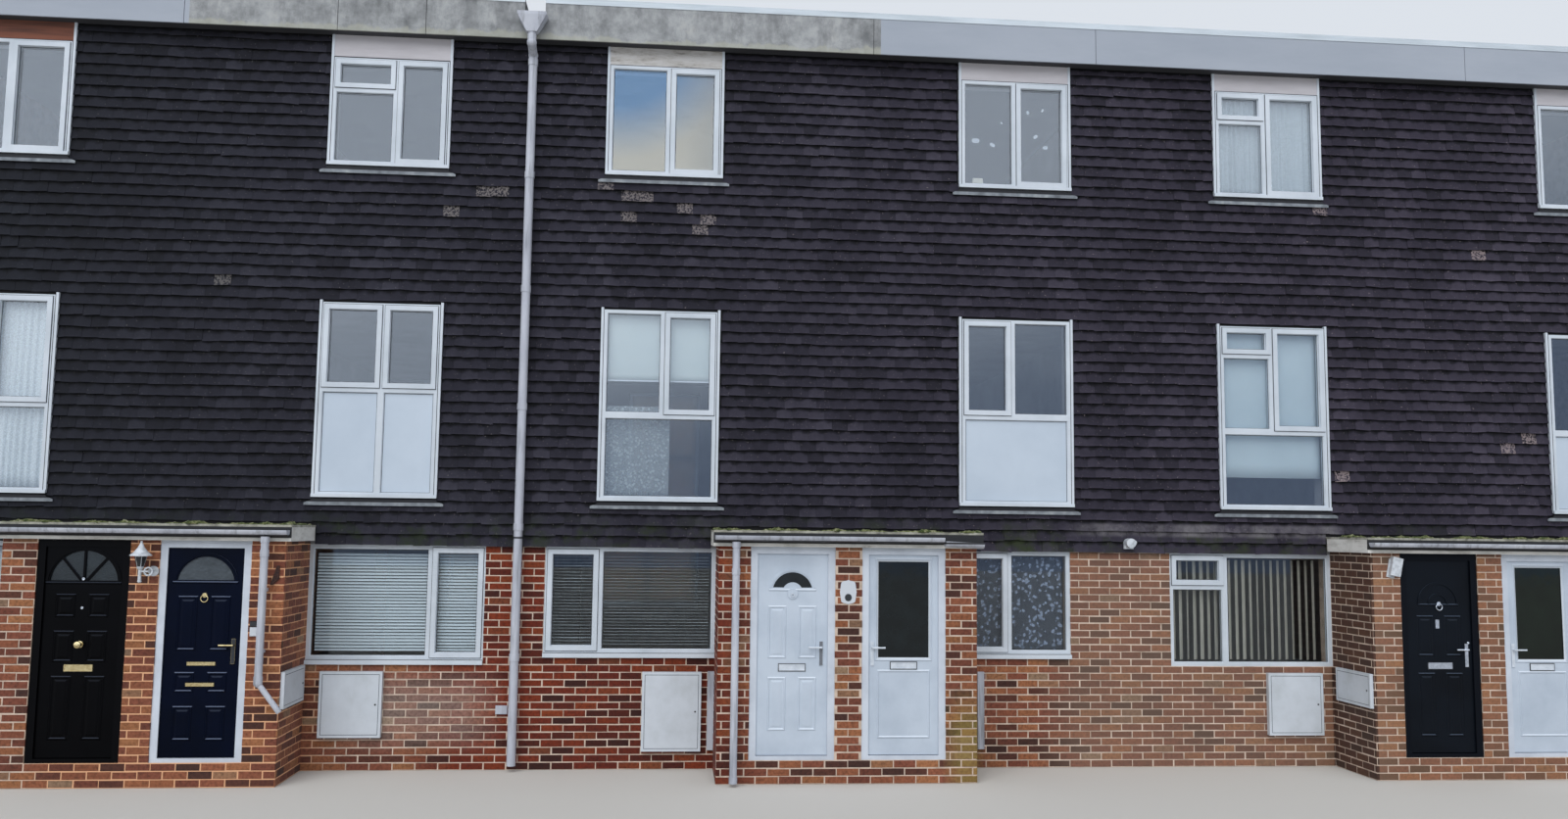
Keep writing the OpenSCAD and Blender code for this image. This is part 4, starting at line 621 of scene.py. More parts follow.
fascia_board, tree, shader = surface("fascia_board_old_and_new", Roughness=0.8)
share = put(tree, "MapRange", {"From Min": -ROW_HALF, "From Max": ROW_HALF}, {"Value": coordinate(tree, "X")})
old = ramp(tree, share, [(0.0, "#000000"), (at(OLD_FROM), "#ffffff"), (at(OLD_TO), "#000000"),
                         (at(OLD_AGAIN), "#ffffff")], smooth=False)
blotch, cloud = mottle(tree, 3.4, [(0.3, "#6e7172"), (0.43, "#8b8e90"), (0.56, "#a3a6a8"), (0.72, "#b6b7b5")],
                       detail=12.0, roughness=0.74)
streaked, streak = soiled(tree, blotch, 0.4, 1.0, [(0.4, "#8d8d90"), (0.54, "#ffffff")],
                          detail=8.0, roughness=0.7, stretch=(4.0, 4.0, 1.4))
# Drips have left a ragged yellowish band along the lower edge of the old boards.
ragged = put(tree, "Math", {1: 0.26, 2: -0.13}, {0: streak}, operation="MULTIPLY_ADD")
rough_edge = put(tree, "Math", links={0: coordinate(tree, "Z"), 1: ragged}, operation="ADD")
drip = put(tree, "MapRange", {"From Min": FASCIA_FOOT + 0.035, "From Max": FASCIA_FOOT + 0.06, "To Min": 0.5,
                              "To Max": 0.0}, {"Value": rough_edge})
dripped = stain(tree, streaked, "#adae9f", drip)
sheet_colour = mottle(tree, 1.2, [(0.3, "#9aa2ae"), (0.7, "#a7aeb9")], stretch=(0.5, 1, 2))[0]
colour = put(tree, "MixRGB", links={"Fac": old, "Color1": sheet_colour, "Color2": dripped})
dress(tree, shader, colour, cloud, 0.0015)
finish(fascia_board, "fascias")
# The soffit board is coloured near black, painted shade for the underside of the eaves.
clouded("soffit_board_in_painted_shade", 2.0, [(0.3, "#2c2d31"), (0.7, "#3a3b40")], "soffits", Roughness=0.75)


# Head boards and lead aprons of the upper windows.
# Shiplap boards under the eaves, whose white paint has peeled to grey wood, and at one window
# bare red wood. A strip of lead dressed over the tiles closes the foot of each window.
BARE_LEFT_OF = -7.5
BOARD_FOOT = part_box("head_boards")[0][2]
board_paint, tree, shader = surface("peeling_board_paint", Roughness=0.7)
flake, cloud = mottle(tree, 13.0, [(0.34, "#77736d"), (0.43, "#b3b0ac"), (0.56, "#c8c7c6")],
                      detail=10.0, roughness=0.75, stretch=(0.35, 1, 1.8))
bare = put(tree, "Math", {1: BARE_LEFT_OF}, {0: coordinate(tree, "X")}, operation="LESS_THAN")
redwood = mottle(tree, 6.0, [(0.3, "#4a2c22"), (0.6, "#7a4a38")], stretch=(0.2, 1, 4))[0]
boards = put(tree, "MixRGB", links={"Fac": bare, "Color1": flake, "Color2": redwood})
kept_up = put(tree, "Math", links={0: zone(tree, "X", -4.77, 0.7, 0.1), 1: zone(tree, "X", 5.5, 5.0, 0.1)},
              operation="MAXIMUM")
clean_coat = mottle(tree, 5.0, [(0.3, "#b9b6bb"), (0.7, "#c8c6cb")], stretch=(0.4, 1, 2))[0]
sound = put(tree, "MixRGB", links={"Fac": kept_up, "Color1": boards, "Color2": clean_coat})
jointed = stain(tree, sound, "#4a4746", zone(tree, "Z", BOARD_FOOT + 0.003, 0.004, 0.003))
dress(tree, shader, jointed, cloud, 0.0015)
finish(board_paint, "head_boards")

# The head of each lead strip lies in the shadow under its window.
lead, tree, shader = surface("weathered_lead", Metallic=0.3, Roughness=0.62)
colour, grain = mottle(tree, 9.0, [(0.3, "#5d6166"), (0.55, "#82878c"), (0.75, "#a4a8a8")], detail=8.0)
heads = [round(float(high[2]), 3) for low, high in solids("lead_aprons")]
tucked = [zone(tree, "Z", z - 0.014, 0.016, 0.006) for z in (min(heads), max(heads))]
shadow = put(tree, "Math", links={0: tucked[0], 1: tucked[1]}, operation="MAXIMUM")
dress(tree, shader, stain(tree, colour, "#18181b", shadow), grain, 0.003)
finish(lead, "lead_aprons")


# Windows: frames, panes, panels and sills.
# White plastic frames, welded at mitred corners, with a bead that holds each sealed pane on
# a thin black gasket. Some lower lights hold white panels in place of glass.
BEAD_W, BEAD_STEP, GASKET_W = 0.007, 0.003, 0.0035
FRAME_W, SASH_W, SASH_OVER, FRAME_SET = 0.040, 0.034, 0.015, 0.023
SASH_MARGIN = 0.057
SILL_JOINT, SILL_JOINT_PROUD, SILL_JOINT_DEEP = 0.005, 0.001, 0.002


def ring_mesh(rectangles, profile):
    """Carries a closed profile round rectangles with mitred corners. Each profile point is
    (outward, depth): the rectangle grows by outward on all sides and lies at depth in Y. A
    rectangle is left, right, bottom, top, Y and 1, or -1 where it faces the rear."""
    rectangles = np.asarray(rectangles, dtype=float)
    profile = np.asarray(profile, dtype=float)
    count, steps = len(rectangles), len(profile)
    x = rectangles[:, None, [0, 1, 1, 0]] + profile[None, :, :1] * np.array([-1, 1, 1, -1])
    z = rectangles[:, None, [2, 2, 3, 3]] + profile[None, :, :1] * np.array([-1, -1, 1, 1])
    y = rectangles[:, None, 4:5] + profile[None, :, 1:2] * rectangles[:, None, 5:6] + 0 * x
    faces = repeated(bands(steps + 1, 4) % (4 * steps), 4 * steps, count).reshape(count, -1, 4)
    turned = rectangles[:, 5] < 0
    faces[turned] = faces[turned][:, :, ::-1]
    return np.stack([x, y, z], 3).reshape(-1, 3), faces.reshape(-1, 4)


white_frame = clouded("white_window_plastic", 1.8, [(0.3, "#b8c1ca"), (0.65, "#cdd5de")],
                      "window_frames_ground", "window_frames_first", "window_frames_second", "window_sills",
                      "rear_doors", detail=6.0, Roughness=0.34)
clouded("white_panel_sheet", 1.1, [(0.3, "#b2bfcd"), (0.7, "#c0ccd9")], "window_panels", Roughness=0.4)
gasket = surface("black_rubber_gasket", "#17181a", Roughness=0.6)[0]

# Dirt fills the joint between each ground floor frame and its sill.
joint_dirt = surface("dirt_in_sill_joint", "#55524e", Roughness=0.95)[0]
for name, side, box in (("front", -1, 0), ("rear", 1, 1)):
    cells = np.array([(low[0] + SILL_JOINT, high[0] - SILL_JOINT, high[2] - SILL_JOINT_PROUD,
                       high[2] + SILL_JOINT) for low, high in on_side(sills, side)])
    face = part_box("window_frames_ground")[box][1]
    plates = wall_plates(cells, face + side * SILL_JOINT_PROUD, face - side * SILL_JOINT_DEEP)
    mesh_piece("sill_joints_" + name, *plates, joint_dirt)

pane_glass, tree, shader = surface("sealed_window_glass", Roughness=0.03)
clear = put(tree, "BsdfTransparent", {"Color": "#f7f9fa"})
shine = put(tree, "BsdfGlossy", {"Color": "#eef3f8", "Roughness": 0.01})
facing = put(tree, "LayerWeight", {"Blend": 0.5}).outputs["Facing"]
grazing = put(tree, "Math", {1: 5.0}, {0: facing}, operation="POWER")
share = put(tree, "MapRange", {"To Min": 0.085, "To Max": 0.95}, {"Value": grazing})
# The ground floor panes reflect less than the upper ones: painted reflection, dimmed for the darker street
# they would mirror.
ground_floor_reflection_dim = put(tree, "MapRange", {"From Min": 2.3, "From Max": 2.5, "To Min": 0.4, "To Max": 1.0},
            {"Value": coordinate(tree, "Z")})
dimmed = put(tree, "Math", links={0: share, 1: ground_floor_reflection_dim}, operation="MULTIPLY")
glass_mix = put(tree, "MixShader", links={0: dimmed, 1: clear, 2: shine})
feed(tree, glass_mix, tree.nodes["Material Output"].inputs["Surface"])
finish(pane_glass, "window_glass")

panes = np.concatenate([solids("window_glass"), solids("window_panels")])
facing_front = panes[:, 0, 1] < 0
rectangles = np.stack([panes[:, 0, 0], panes[:, 1, 0], panes[:, 0, 2], panes[:, 1, 2],
                       np.where(facing_front, panes[:, 0, 1], panes[:, 1, 1]),
                       np.where(facing_front, 1, -1)], 1)
bead = [(0.0, 0.002), (0.0, -0.018), (-BEAD_W + BEAD_STEP, -0.014), (-BEAD_W, -0.004), (-BEAD_W, 0.002)]
mesh_piece("glazing_beads", *ring_mesh(rectangles, bead), white_frame, "upvc")
seal = [(-BEAD_W, 0.001), (-BEAD_W, -0.0035), (-BEAD_W - GASKET_W, -0.0015), (-BEAD_W - GASKET_W, 0.001)]
mesh_piece("glazing_gaskets", *ring_mesh(rectangles, seal), gasket)
# A sash that opens holds its pane further from the side of the window than a fixed light
# does. A dark line shows all round it: its weather seal, widened by painted shadow of the gap.
# A dark line of painted shadow also runs round the edge of each upper frame, at its joint.
sashes, frames = [], []
for boxes, board in ((ground_windows, 0.0), (upper_windows, SIDE_BOARD)):
    for low, high in boxes:
        inside = (panes[:, 0] > low - TOUCH).all(1) & (panes[:, 1] < high + TOUCH).all(1)
        margin = np.minimum(panes[:, 0, 0] - low[0], high[0] - panes[:, 1, 0]) - board
        opens = margin[inside] > SASH_MARGIN
        sashes.append(rectangles[inside][opens])
        reach = np.where(opens, FRAME_W + SASH_W, FRAME_W)
        top, foot = (rectangles[inside][:, 3] + reach).max(), (rectangles[inside][:, 2] - reach).min()
        frames.append([low[0] + board, high[0] - board, foot, top, *rectangles[inside][0, 4:]])
rim, lap = SASH_W + SASH_OVER, FRAME_SET
seal_and_gap_shadow = [(rim + 0.006, -lap + 0.003), (rim + 0.006, -lap - 0.0015), (rim + 0.0005, -lap - 0.0015),
                (rim + 0.0005, -lap + 0.003)]
mesh_piece("sash_seals_and_gap_shadows", *ring_mesh(np.concatenate(sashes), seal_and_gap_shadow), gasket)
edge_joint_shadow = [(0.0, -lap + 0.003), (0.0, -lap - 0.001), (-0.006, -lap - 0.001), (-0.006, -lap + 0.003)]
mesh_piece("frame_edge_joint_shadows", *ring_mesh(frames[len(ground_windows):], edge_joint_shadow), gasket)


# Front doors: frames, leaves and obscured panes.
# Composite and plastic leaves with a faint pressed wood grain, hung in frames of the same
# make. One is black and one charcoal with their frames, one is navy, and three are white.
def placed(name):
    """Middle X of a construction node, and half its width."""
    low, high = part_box(name)
    return (low[0] + high[0]) / 2, (high[0] - low[0]) / 2


# Soiled white frames, with a black frame and a charcoal one at their places along the row.
FRAME_BESIDE = 0.1
door_frame_paint, tree, shader = surface("door_frame_plastic_and_paint", Roughness=0.34)
along = coordinate(tree, "X")
colour = mottle(tree, 2.4, [(0.32, "#b5bdc9"), (0.6, "#cad2dd")], detail=6.0)[0]
for node, code in (("door_leaf_1", "#070709"), ("door_leaf_5", "#0f1218")):
    middle, half = placed(node)
    here = put(tree, "Math", {1: middle, 2: half + FRAME_BESIDE}, {0: along}, operation="COMPARE")
    colour = stain(tree, colour, code, here)
dress(tree, shader, colour)
dark_here = put(tree, "RGBToBW", links={"Color": colour})
sheen = put(tree, "MapRange", {"From Max": 0.3, "To Min": 0.05, "To Max": 0.5}, {"Value": dark_here})
feed(tree, sheen, shader.inputs["Specular IOR Level"])
finish(door_frame_paint, "door_frame_posts", "door_frame_rails")

# Leaves. The upward faces of the mouldings are painted paler, a painted highlight of the sky.
# The dark ones are dull, the white ones satin and a little grey in places, and noise drawn out
# along their height is their grain.
for number, code, shaded, gloss, mirror, highlight_code in ((1, "#040406", "#020203", 0.3, 0.06, "#2f343e"),
                                                  (2, "#040a1c", "#030713", 0.3, 0.06, "#667085"),
                                                  (3, "#bfcad7", "#b0bcca", 0.38, 0.5, "#dde5ee"),
                                                  (4, "#bcc7d4", "#acb8c6", 0.38, 0.5, "#dbe3ec"),
                                                  (5, "#0c1118", "#080b10", 0.4, 0.1, "#404a58"),
                                                  (6, "#bcc7d4", "#acb8c6", 0.38, 0.5, "#dbe3ec")):
    leaf_face, tree, shader = surface("door_leaf_face_%d" % number, Roughness=gloss,
                                      Specular_IOR_Level=mirror)
    colour = mottle(tree, 1.6, [(0.34, shaded), (0.58, code)])[0]
    normal = put(tree, "NewGeometry").outputs["True Normal"]
    upward = put(tree, "SeparateXYZ", links={"Vector": normal}).outputs["Z"]
    # Faces that look upward are painted paler: a painted highlight.
    upward_highlight = put(tree, "MapRange", {"From Min": 0.2, "From Max": 0.5, "To Max": 0.8}, {"Value": upward})
    place = put(tree, "TexCoord").outputs["Object"]
    drawn = put(tree, "Mapping", {"Scale": (160.0, 160.0, 5.0)}, {"Vector": place})
    grain = put(tree, "TexNoise", {"Scale": 1.0, "Detail": 3.0}, {"Vector": drawn})
    dress(tree, shader, stain(tree, colour, highlight_code, upward_highlight), grain, 0.0006)
    finish(leaf_face, "door_leaf_%d" % number)

# Panes: ribbed dark glass in the black door, frosted pale glass in the navy one, and the
# clear panes of the others drawn as opaque dark glass, painted shade of the unlit lobbies behind.
for number, dark, light, rough, pattern, depth in ((1, "#1d2327", "#2b3338", 0.2, 120.0, 0.0015),
                                                   (2, "#373d42", "#4e565d", 0.22, 34.0, 0.002),
                                                   (3, "#181c1e", "#24292c", 0.08, 60.0, 0.0004),
                                                   (4, "#0d1315", "#151d20", 0.05, 9.0, 0.0004),
                                                   (6, "#0a120d", "#111c15", 0.05, 9.0, 0.0004)):
    obscured, tree, shader = surface("door_pane_%d" % number, Roughness=rough, Specular_IOR_Level=0.3)
    colour = mottle(tree, 6.0, [(0.3, dark), (0.75, light)], detail=4.0)[0]
    cells = put(tree, "TexVoronoi", {"Scale": pattern}, {"Vector": put(tree, "TexCoord").outputs["Object"]},
                feature="SMOOTH_F1")
    dress(tree, shader, colour, cells.outputs["Distance"], depth)
    finish(obscured, "door_glass_%d" % number)

# A bead and a dark gasket round the big panes of two doors.
PANE_BEAD = [(0.001, 0.004), (0.001, 0.02), (-0.012, 0.022), (-0.012, 0.012)]
PANE_GASKET = [(-0.012, 0.013), (-0.012, 0.02), (-0.0155, 0.022), (-0.0155, 0.0145)]
for number in (4, 6):
    low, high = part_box("door_glass_%d" % number)
    pane = [(low[0], high[0], low[2], high[2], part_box("door_leaf_%d" % number)[0][1], 1)]
    for name, profile, material, slot in (("bead", PANE_BEAD, white_frame, "upvc"),
                                          ("gasket", PANE_GASKET, gasket, None)):
        mesh_piece("door_pane_%s_%d" % (name, number), *ring_mesh(pane, profile), material, slot,
                   "door_%d" % number)


# Door fittings.
# Hinges, letter plates, levers, knob and knockers. The black and the navy door have polished
# brass, dulled by hands and weather, and the others satin metal or white plastic.
clouded("polished_brass", 30.0, [(0.3, "#b7a273"), (0.7, "#dccb9c")], "door_fittings_1", "door_fittings_2",
        detail=4.0, Metallic=1.0, Roughness=0.26)
satin_steel = clouded("satin_chrome", 30.0, [(0.3, "#a9adb3"), (0.7, "#d3d6db")], "door_fittings_5",
                      "door_hinges", detail=4.0, Metallic=1.0, Roughness=0.3)
clouded("white_coated_fittings", 14.0, [(0.3, "#b9c2cc"), (0.7, "#d6dde6")], "door_fittings_3",
        "door_fittings_4", "door_fittings_6", detail=4.0, Roughness=0.28)


def lathe(outline, centre, side=-1.0, steps=20):
    """Turns (radius, distance) points about a line along Y through a centre, the distance
    running from it to the given side."""
    outline, angle = np.asarray(outline, float), np.arange(steps) * 2 * np.pi / steps
    points = np.zeros((len(outline), steps, 3)) + centre
    points[..., 0] += outline[:, :1] * np.cos(angle)
    points[..., 1] += side * outline[:, 1:]
    points[..., 2] += outline[:, :1] * np.sin(angle)
    faces = bands(len(outline), steps)
    return points.reshape(-1, 3), faces[:, ::-1] if side < 0 else faces


# Small metal on the leaves: the hub of the black door's fan, and spy holes.
HUB_Z, SPY_Z, HUB_SET = 1.643, 1.374, 0.004
LEAF_SET = 0.020
SPY = [(0.0, 0.0), (0.013, 0.0), (0.013, 0.003), (0.009, 0.005), (0.007, 0.0035), (0.0, 0.0035)]
HUB = [(0.0, 0.0), (0.014, 0.0), (0.014, 0.006), (0.011, 0.008), (0.007, 0.006), (0.0, 0.006)]
leaf_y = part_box("door_frame_posts")[0][1] + LEAF_SET
first_x, first_foot = placed("door_leaf_1")[0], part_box("door_leaf_1")[0][2]
for name, outline, y, z in (("spy_hole", SPY, leaf_y, SPY_Z), ("fan_hub", HUB, leaf_y - HUB_SET, HUB_Z)):
    mesh_piece(name, *lathe(outline, (first_x, y, first_foot + z)), satin_steel, "steel", "door_1",
               smooth=True)
# A black rim round the letter plates of the white doors.
PLATE_RIM = [(0.003, 0.006), (0.003, 0.001), (-0.003, -0.0012), (-0.003, 0.006)]
for number in (3, 4, 6):
    low, high = max(solids("door_fittings_%d" % number), key=lambda b: b[1][0] - b[0][0])
    each = ring_mesh([(low[0], high[0], low[2], high[2], low[1], 1)], PLATE_RIM)
    mesh_piece("letter_plate_rim_%d" % number, *each, gasket, body="door_%d" % number)


# Gutters, downpipes, hopper head, ducts.
# Grey plastic rainwater goods whose faces have faded to pale lilac grey, with dirt below each
# joint, and painted shade in a dark band along the underside of the gutters.
GUTTER_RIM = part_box("porch_gutters")[1][2]
faded_plastic, tree, shader = surface("faded_grey_rainwater_plastic", Roughness=0.55)
colour, chalk = mottle(tree, 3.0, [(0.28, "#969aa5"), (0.5, "#b3b7c2"), (0.72, "#c4c8d1")],
                       detail=7.0, stretch=(1, 1, 0.35))
dirtied = soiled(tree, colour, 0.55, 1.0, [(0.3, "#83837f"), (0.5, "#ffffff")], detail=6.0,
                 stretch=(22, 22, 1.6))[0]
# A band at the foot of the gutters is painted dark: painted shade on their underside.
painted_underside_shade = stain(tree, dirtied, "#2b2b2e", zone(tree, "Z", GUTTER_RIM - 0.052, 0.007, 0.006))
dress(tree, shader, painted_underside_shade, chalk, 0.0008)
finish(faded_plastic, "porch_gutters", "porch_downpipes", "main_downpipe", "hopper_head", "wall_ducts")


# Porch roofs: boards, felt and moss.
# Old painted boards with a strip of felt dressed over their edge. Moss and lichen have grown
# along it in a ragged strip.
porch_board, tree, shader = surface("porch_board_paint", Roughness=0.72)
flaked, cloud = mottle(tree, 7.0, [(0.3, "#8f8b84"), (0.38, "#cbc9c4"), (0.56, "#e2e1dd")],
                       detail=9.0, roughness=0.72, stretch=(0.5, 0.5, 2.0))
aged = soiled(tree, flaked, 0.4, 2.2, [(0.38, "#989a8e"), (0.55, "#ffffff")], detail=6.0)[0]
# Behind the gutter and just below it the front board is painted black: painted shade of the gutter.
painted_gutter_shade = stain(tree, aged, "#1c1c1d", zone(tree, "Y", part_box("porch_fascias")[0][1], 0.012, 0.004),
               zone(tree, "Z", GUTTER_RIM + 0.02, 0.09, 0.005))
dress(tree, shader, painted_gutter_shade, cloud, 0.0018)
finish(porch_board, "porch_fascias")

clouded("porch_felt_and_lichen", 9.0, [(0.3, "#57564f"), (0.45, "#8b8a80"), (0.58, "#abaa9f"),
                                       (0.75, "#bcbbae")],
        "porch_roofs", depth=0.005, detail=9.0, roughness=0.7, Roughness=0.95)
moss = clouded("moss_and_lichen_crust", 22.0, [(0.34, "#1f2715"), (0.45, "#3b4622"), (0.55, "#6d6f4c"),
                                               (0.68, "#a5a593")],
               depth=0.006, detail=8.0, roughness=0.7, Roughness=1.0)


def waves(s, rng, shortest, longest, count):
    """Sum of sines of random phase along s, with wavelengths from longest to shortest and
    heights in proportion to them. Its size is about 1."""
    lengths = np.geomspace(longest, shortest, count)
    heights = (lengths / longest) ** 0.6
    phases = rng.uniform(0, 2 * np.pi, count)
    total = (heights * np.sin(2 * np.pi * np.asarray(s)[..., None] / lengths + phases)).sum(-1)
    return total / np.sqrt((heights ** 2).sum())


def crust(starts, ends, wide, high, rng, step=0.012):
    """Low lumpy strips along straight lines. Across, each is a flat-footed half ellipse; its
    width and height wander along it and fall to nothing at both ends."""
    parts = []
    across = np.linspace(0, np.pi, 7)
    for start, end in zip(np.asarray(starts, float), np.asarray(ends, float)):
        run = np.linalg.norm(end - start)
        s = np.linspace(0, run, max(4, int(run / step)))
        forward = (end - start) / run
        aside = np.array([-forward[1], forward[0], 0.0])
        size = np.clip(0.62 + 0.42 * waves(s, rng, 0.03, 0.7, 9), 0.06, 1.25)
        size *= np.clip(np.minimum(s, run - s) / 0.05, 0.02, 1)
        shift = 0.22 * wide * waves(s, rng, 0.05, 0.4, 6)
        a = np.cos(across)[None] * (wide / 2 * size)[:, None] + shift[:, None]
        lump = 1 + 0.22 * waves(s[:, None] + across[None] * 0.8, rng, 0.02, 0.12, 5)
        b = np.sin(across)[None] * (high * size)[:, None] * lump
        ring = (start + forward * s[:, None, None] + aside * a[..., None]
                + np.array([0, 0, 1.0]) * b[..., None])
        foot = ring[:, [6, 0]].mean(1, keepdims=True) - [0, 0, 0.004]
        ring = np.concatenate([ring, foot], 1)
        parts.append((ring.reshape(-1, 3), bands(*ring.shape[:2])))
    return joined(parts)


MOSS_IN, MOSS_WIDE, MOSS_HIGH = 0.040, 0.070, 0.026
MOSS_END, MOSS_SUNK = 0.03, 0.003
rng = np.random.default_rng(21)
starts, ends = [], []
for low, high in porch_blocks:
    z, y, back = high[2] - MOSS_SUNK, low[1] + MOSS_IN, tile_low[1] - MOSS_END
    starts += [(low[0] + MOSS_END, y, z), (low[0] + MOSS_IN, y, z), (high[0] - MOSS_IN, y, z)]
    ends += [(high[0] - MOSS_END, y, z), (low[0] + MOSS_IN, back, z), (high[0] - MOSS_IN, back, z)]
mesh_piece("porch_moss", *crust(starts, ends, MOSS_WIDE, MOSS_HIGH, rng), moss, smooth=True)


# Cupboards, plaque, lights and bells.
# White moulded meter cupboards with a hinged door that stays shut, a white plaque with a dark
# oval, a painted lantern, a box light that hangs askew, and a flood light at the tiles' edge.
clouded("white_meter_cupboard_plastic", 3.4, [(0.3, "#b9c0c6"), (0.5, "#c5ccd4"), (0.7, "#cdd4dc")],
        "meter_boxes", depth=0.0006, detail=7.0, Roughness=0.5)
clouded("white_painted_metal", 20.0, [(0.3, "#a2a8ae"), (0.6, "#cdd3da")], "wall_lights", Roughness=0.42)
dark_plastic = surface("dark_plastic", "#1d1f22", Roughness=0.4)[0]
gap_shadow = surface("painted_shadow_in_door_gap", "#59616a", Roughness=0.9)[0]
enamel = surface("white_enamel", "#c8ced6", Roughness=0.25)[0]

# The dark gap round each cupboard's door, a painted shadow, and its lock. Those on the porch
# sides are the same shapes with their width turned along Y.
CUPBOARD_DOOR, CUPBOARD_LOCK, DOOR_GAP = 0.029, 0.060, 0.0029
LOCK_PROUD, CUPBOARD_DEEP = 0.005, 0.1
LOCK = [(0.0, 0.0), (0.009, 0.0), (0.009, 0.0045), (0.0075, 0.0058), (0.0, 0.0058)]
GAP = [(-DOOR_GAP, 0.0058), (DOOR_GAP, 0.0058), (DOOR_GAP, 0.0008), (-DOOR_GAP, 0.0008)]
lines, locks = [], []
for low, high in solids("meter_boxes"):
    turned = high[0] - low[0] < CUPBOARD_DEEP
    a, b = (low[1], high[1]) if turned else (low[0], high[0])
    out = (1.0 if low[0] > 0 else -1.0) if turned else 1.0
    face = ((low[0] if out > 0 else high[0]) if turned else low[1]) + out * LOCK_PROUD
    rectangle = (a + CUPBOARD_DOOR, b - CUPBOARD_DOOR, low[2] + CUPBOARD_DOOR, high[2] - CUPBOARD_DOOR,
                 face, out)
    lock_at = a + CUPBOARD_LOCK if turned and out > 0 else b - CUPBOARD_LOCK
    lock = lathe(LOCK, (lock_at, face, (low[2] + high[2]) / 2), side=-out)
    for (points, faces), parts in ((ring_mesh([rectangle], GAP), lines), (lock, locks)):
        parts.append((points[:, [1, 0, 2]], faces[:, ::-1]) if turned else (points, faces))
mesh_piece("cupboard_door_gaps", *joined(lines), gap_shadow)
mesh_piece("cupboard_locks", *joined(locks), dark_plastic)


def slab(outline, y, thick):
    """Closed plate from a convex outline of (x, z) points, whose back lies at y and whose
    face stands thick in front of it, with its rim drawn in by a third of that."""
    outline = np.asarray(outline, float)
    middle = outline.mean(0)
    away = np.linalg.norm(outline - middle, axis=1, keepdims=True)
    inner = middle + (outline - middle) * (1 - thick / 3 / away)
    rings = [(middle + 0 * outline, y), (outline, y), (outline, y - thick * 0.7), (inner, y - thick),
             (middle + 0 * outline, y - thick)]
    points = np.concatenate([np.stack([r[:, 0], np.full(len(r), d), r[:, 1]], 1) for r, d in rings])
    return points, bands(len(rings), len(outline))


def oblong(x0, x1, z0, z1):
    """Corners of an upright rectangle, as an outline."""
    return [(x0, z0), (x1, z0), (x1, z1), (x0, z1)]


# Plaque with a raised oval, between the two middle doors. Its outline is a rounded square, the
# power 3.2 form of a circle, with eight shallow scallops.
PLAQUE_X, PLAQUE_Z = (-0.089, 0.078), (1.727, 1.965)
PLAQUE_T, OVAL_T, SEATED = 0.006, 0.004, 0.002
SQUARENESS, SCALLOP = 3.2, 0.06
OVAL_W, OVAL_H, OVAL_DOWN = 0.034, 0.036, 0.052
angle = np.arange(48) * 2 * np.pi / 48
half_w, half_h = (PLAQUE_X[1] - PLAQUE_X[0]) / 2, (PLAQUE_Z[1] - PLAQUE_Z[0]) / 2
centre_x, centre_z = sum(PLAQUE_X) / 2, sum(PLAQUE_Z) / 2
boxy = (np.abs(np.cos(angle)) ** SQUARENESS + np.abs(np.sin(angle)) ** SQUARENESS) ** (-1 / SQUARENESS)
boxy *= 1 - SCALLOP * np.abs(np.sin(4 * angle))
outline = np.stack([centre_x + half_w * boxy * np.cos(angle), centre_z + half_h * boxy * np.sin(angle)], 1)
mesh_piece("wall_plaque", *slab(outline, porch_front - SEATED, PLAQUE_T), enamel)
oval = np.stack([centre_x + OVAL_W * np.cos(angle), centre_z - OVAL_DOWN + OVAL_H * np.sin(angle)], 1)
mesh_piece("plaque_oval", *slab(oval, porch_front - SEATED - PLAQUE_T, OVAL_T), dark_plastic)

# Dark panes in the six sides of the lantern, between its ribs.
LANTERN_AT, LANTERN_Z, LANTERN_R = (-6.670, -5.126), (2.030, 2.140), (0.030, 0.060)
PANE_SHARE, PANE_IN, PANE_OUT = 0.84, 0.002, 0.0012
corner = np.arange(6) * np.pi / 3
low_ring, high_ring = [np.stack([r * np.cos(corner), r * np.sin(corner), 0 * corner + z - LANTERN_Z[0]], 1)
                       for r, z in zip(LANTERN_R, LANTERN_Z)]
quads = np.stack([low_ring, np.roll(low_ring, -1, 0), np.roll(high_ring, -1, 0), high_ring], 1)
middle = quads.mean(1, keepdims=True)
outward = middle * [1, 1, 0] / np.linalg.norm(middle * [1, 1, 0], axis=2, keepdims=True)
inset = middle + (quads - middle) * PANE_SHARE
plates = np.concatenate([inset - outward * PANE_IN, inset + outward * PANE_OUT], 1)
plates += [*LANTERN_AT, LANTERN_Z[0]]
mesh_piece("lantern_panes", plates.reshape(-1, 3), repeated(BOX_FACES, 8, 6), dark_plastic)

# A bare steel plate and a lock on the charcoal door, and a rusty bracket by the first downpipe.
BARE_PLATE, BARE_PLATE_IN, BARE_PLATE_T = (6.092, 6.132, 1.52, 1.61), 0.0005, 0.0025
LOCK_X, LOCK_Z = 6.439, 1.375
BRACKET, BRACKET_T = [(-5.525, 1.875), (-5.50, 1.875), (-5.445, 1.93), (-5.445, 2.055), (-5.47, 2.055)], 0.022
bare_plate = slab(oblong(*BARE_PLATE), leaf_y + BARE_PLATE_IN, BARE_PLATE_T)
mesh_piece("bare_plate", *bare_plate, satin_steel, "steel", "door_5")
mesh_piece("door_lock_5", *lathe(SPY, (LOCK_X, leaf_y, LOCK_Z)), satin_steel, "steel", "door_5", smooth=True)
rusty_iron = clouded("rusty_iron", 60.0, [(0.35, "#211d1f"), (0.6, "#4a3028")], detail=4.0, Roughness=0.9)
mesh_piece("rusty_bracket", *slab(BRACKET, porch_front - 0.001, BRACKET_T), rusty_iron)

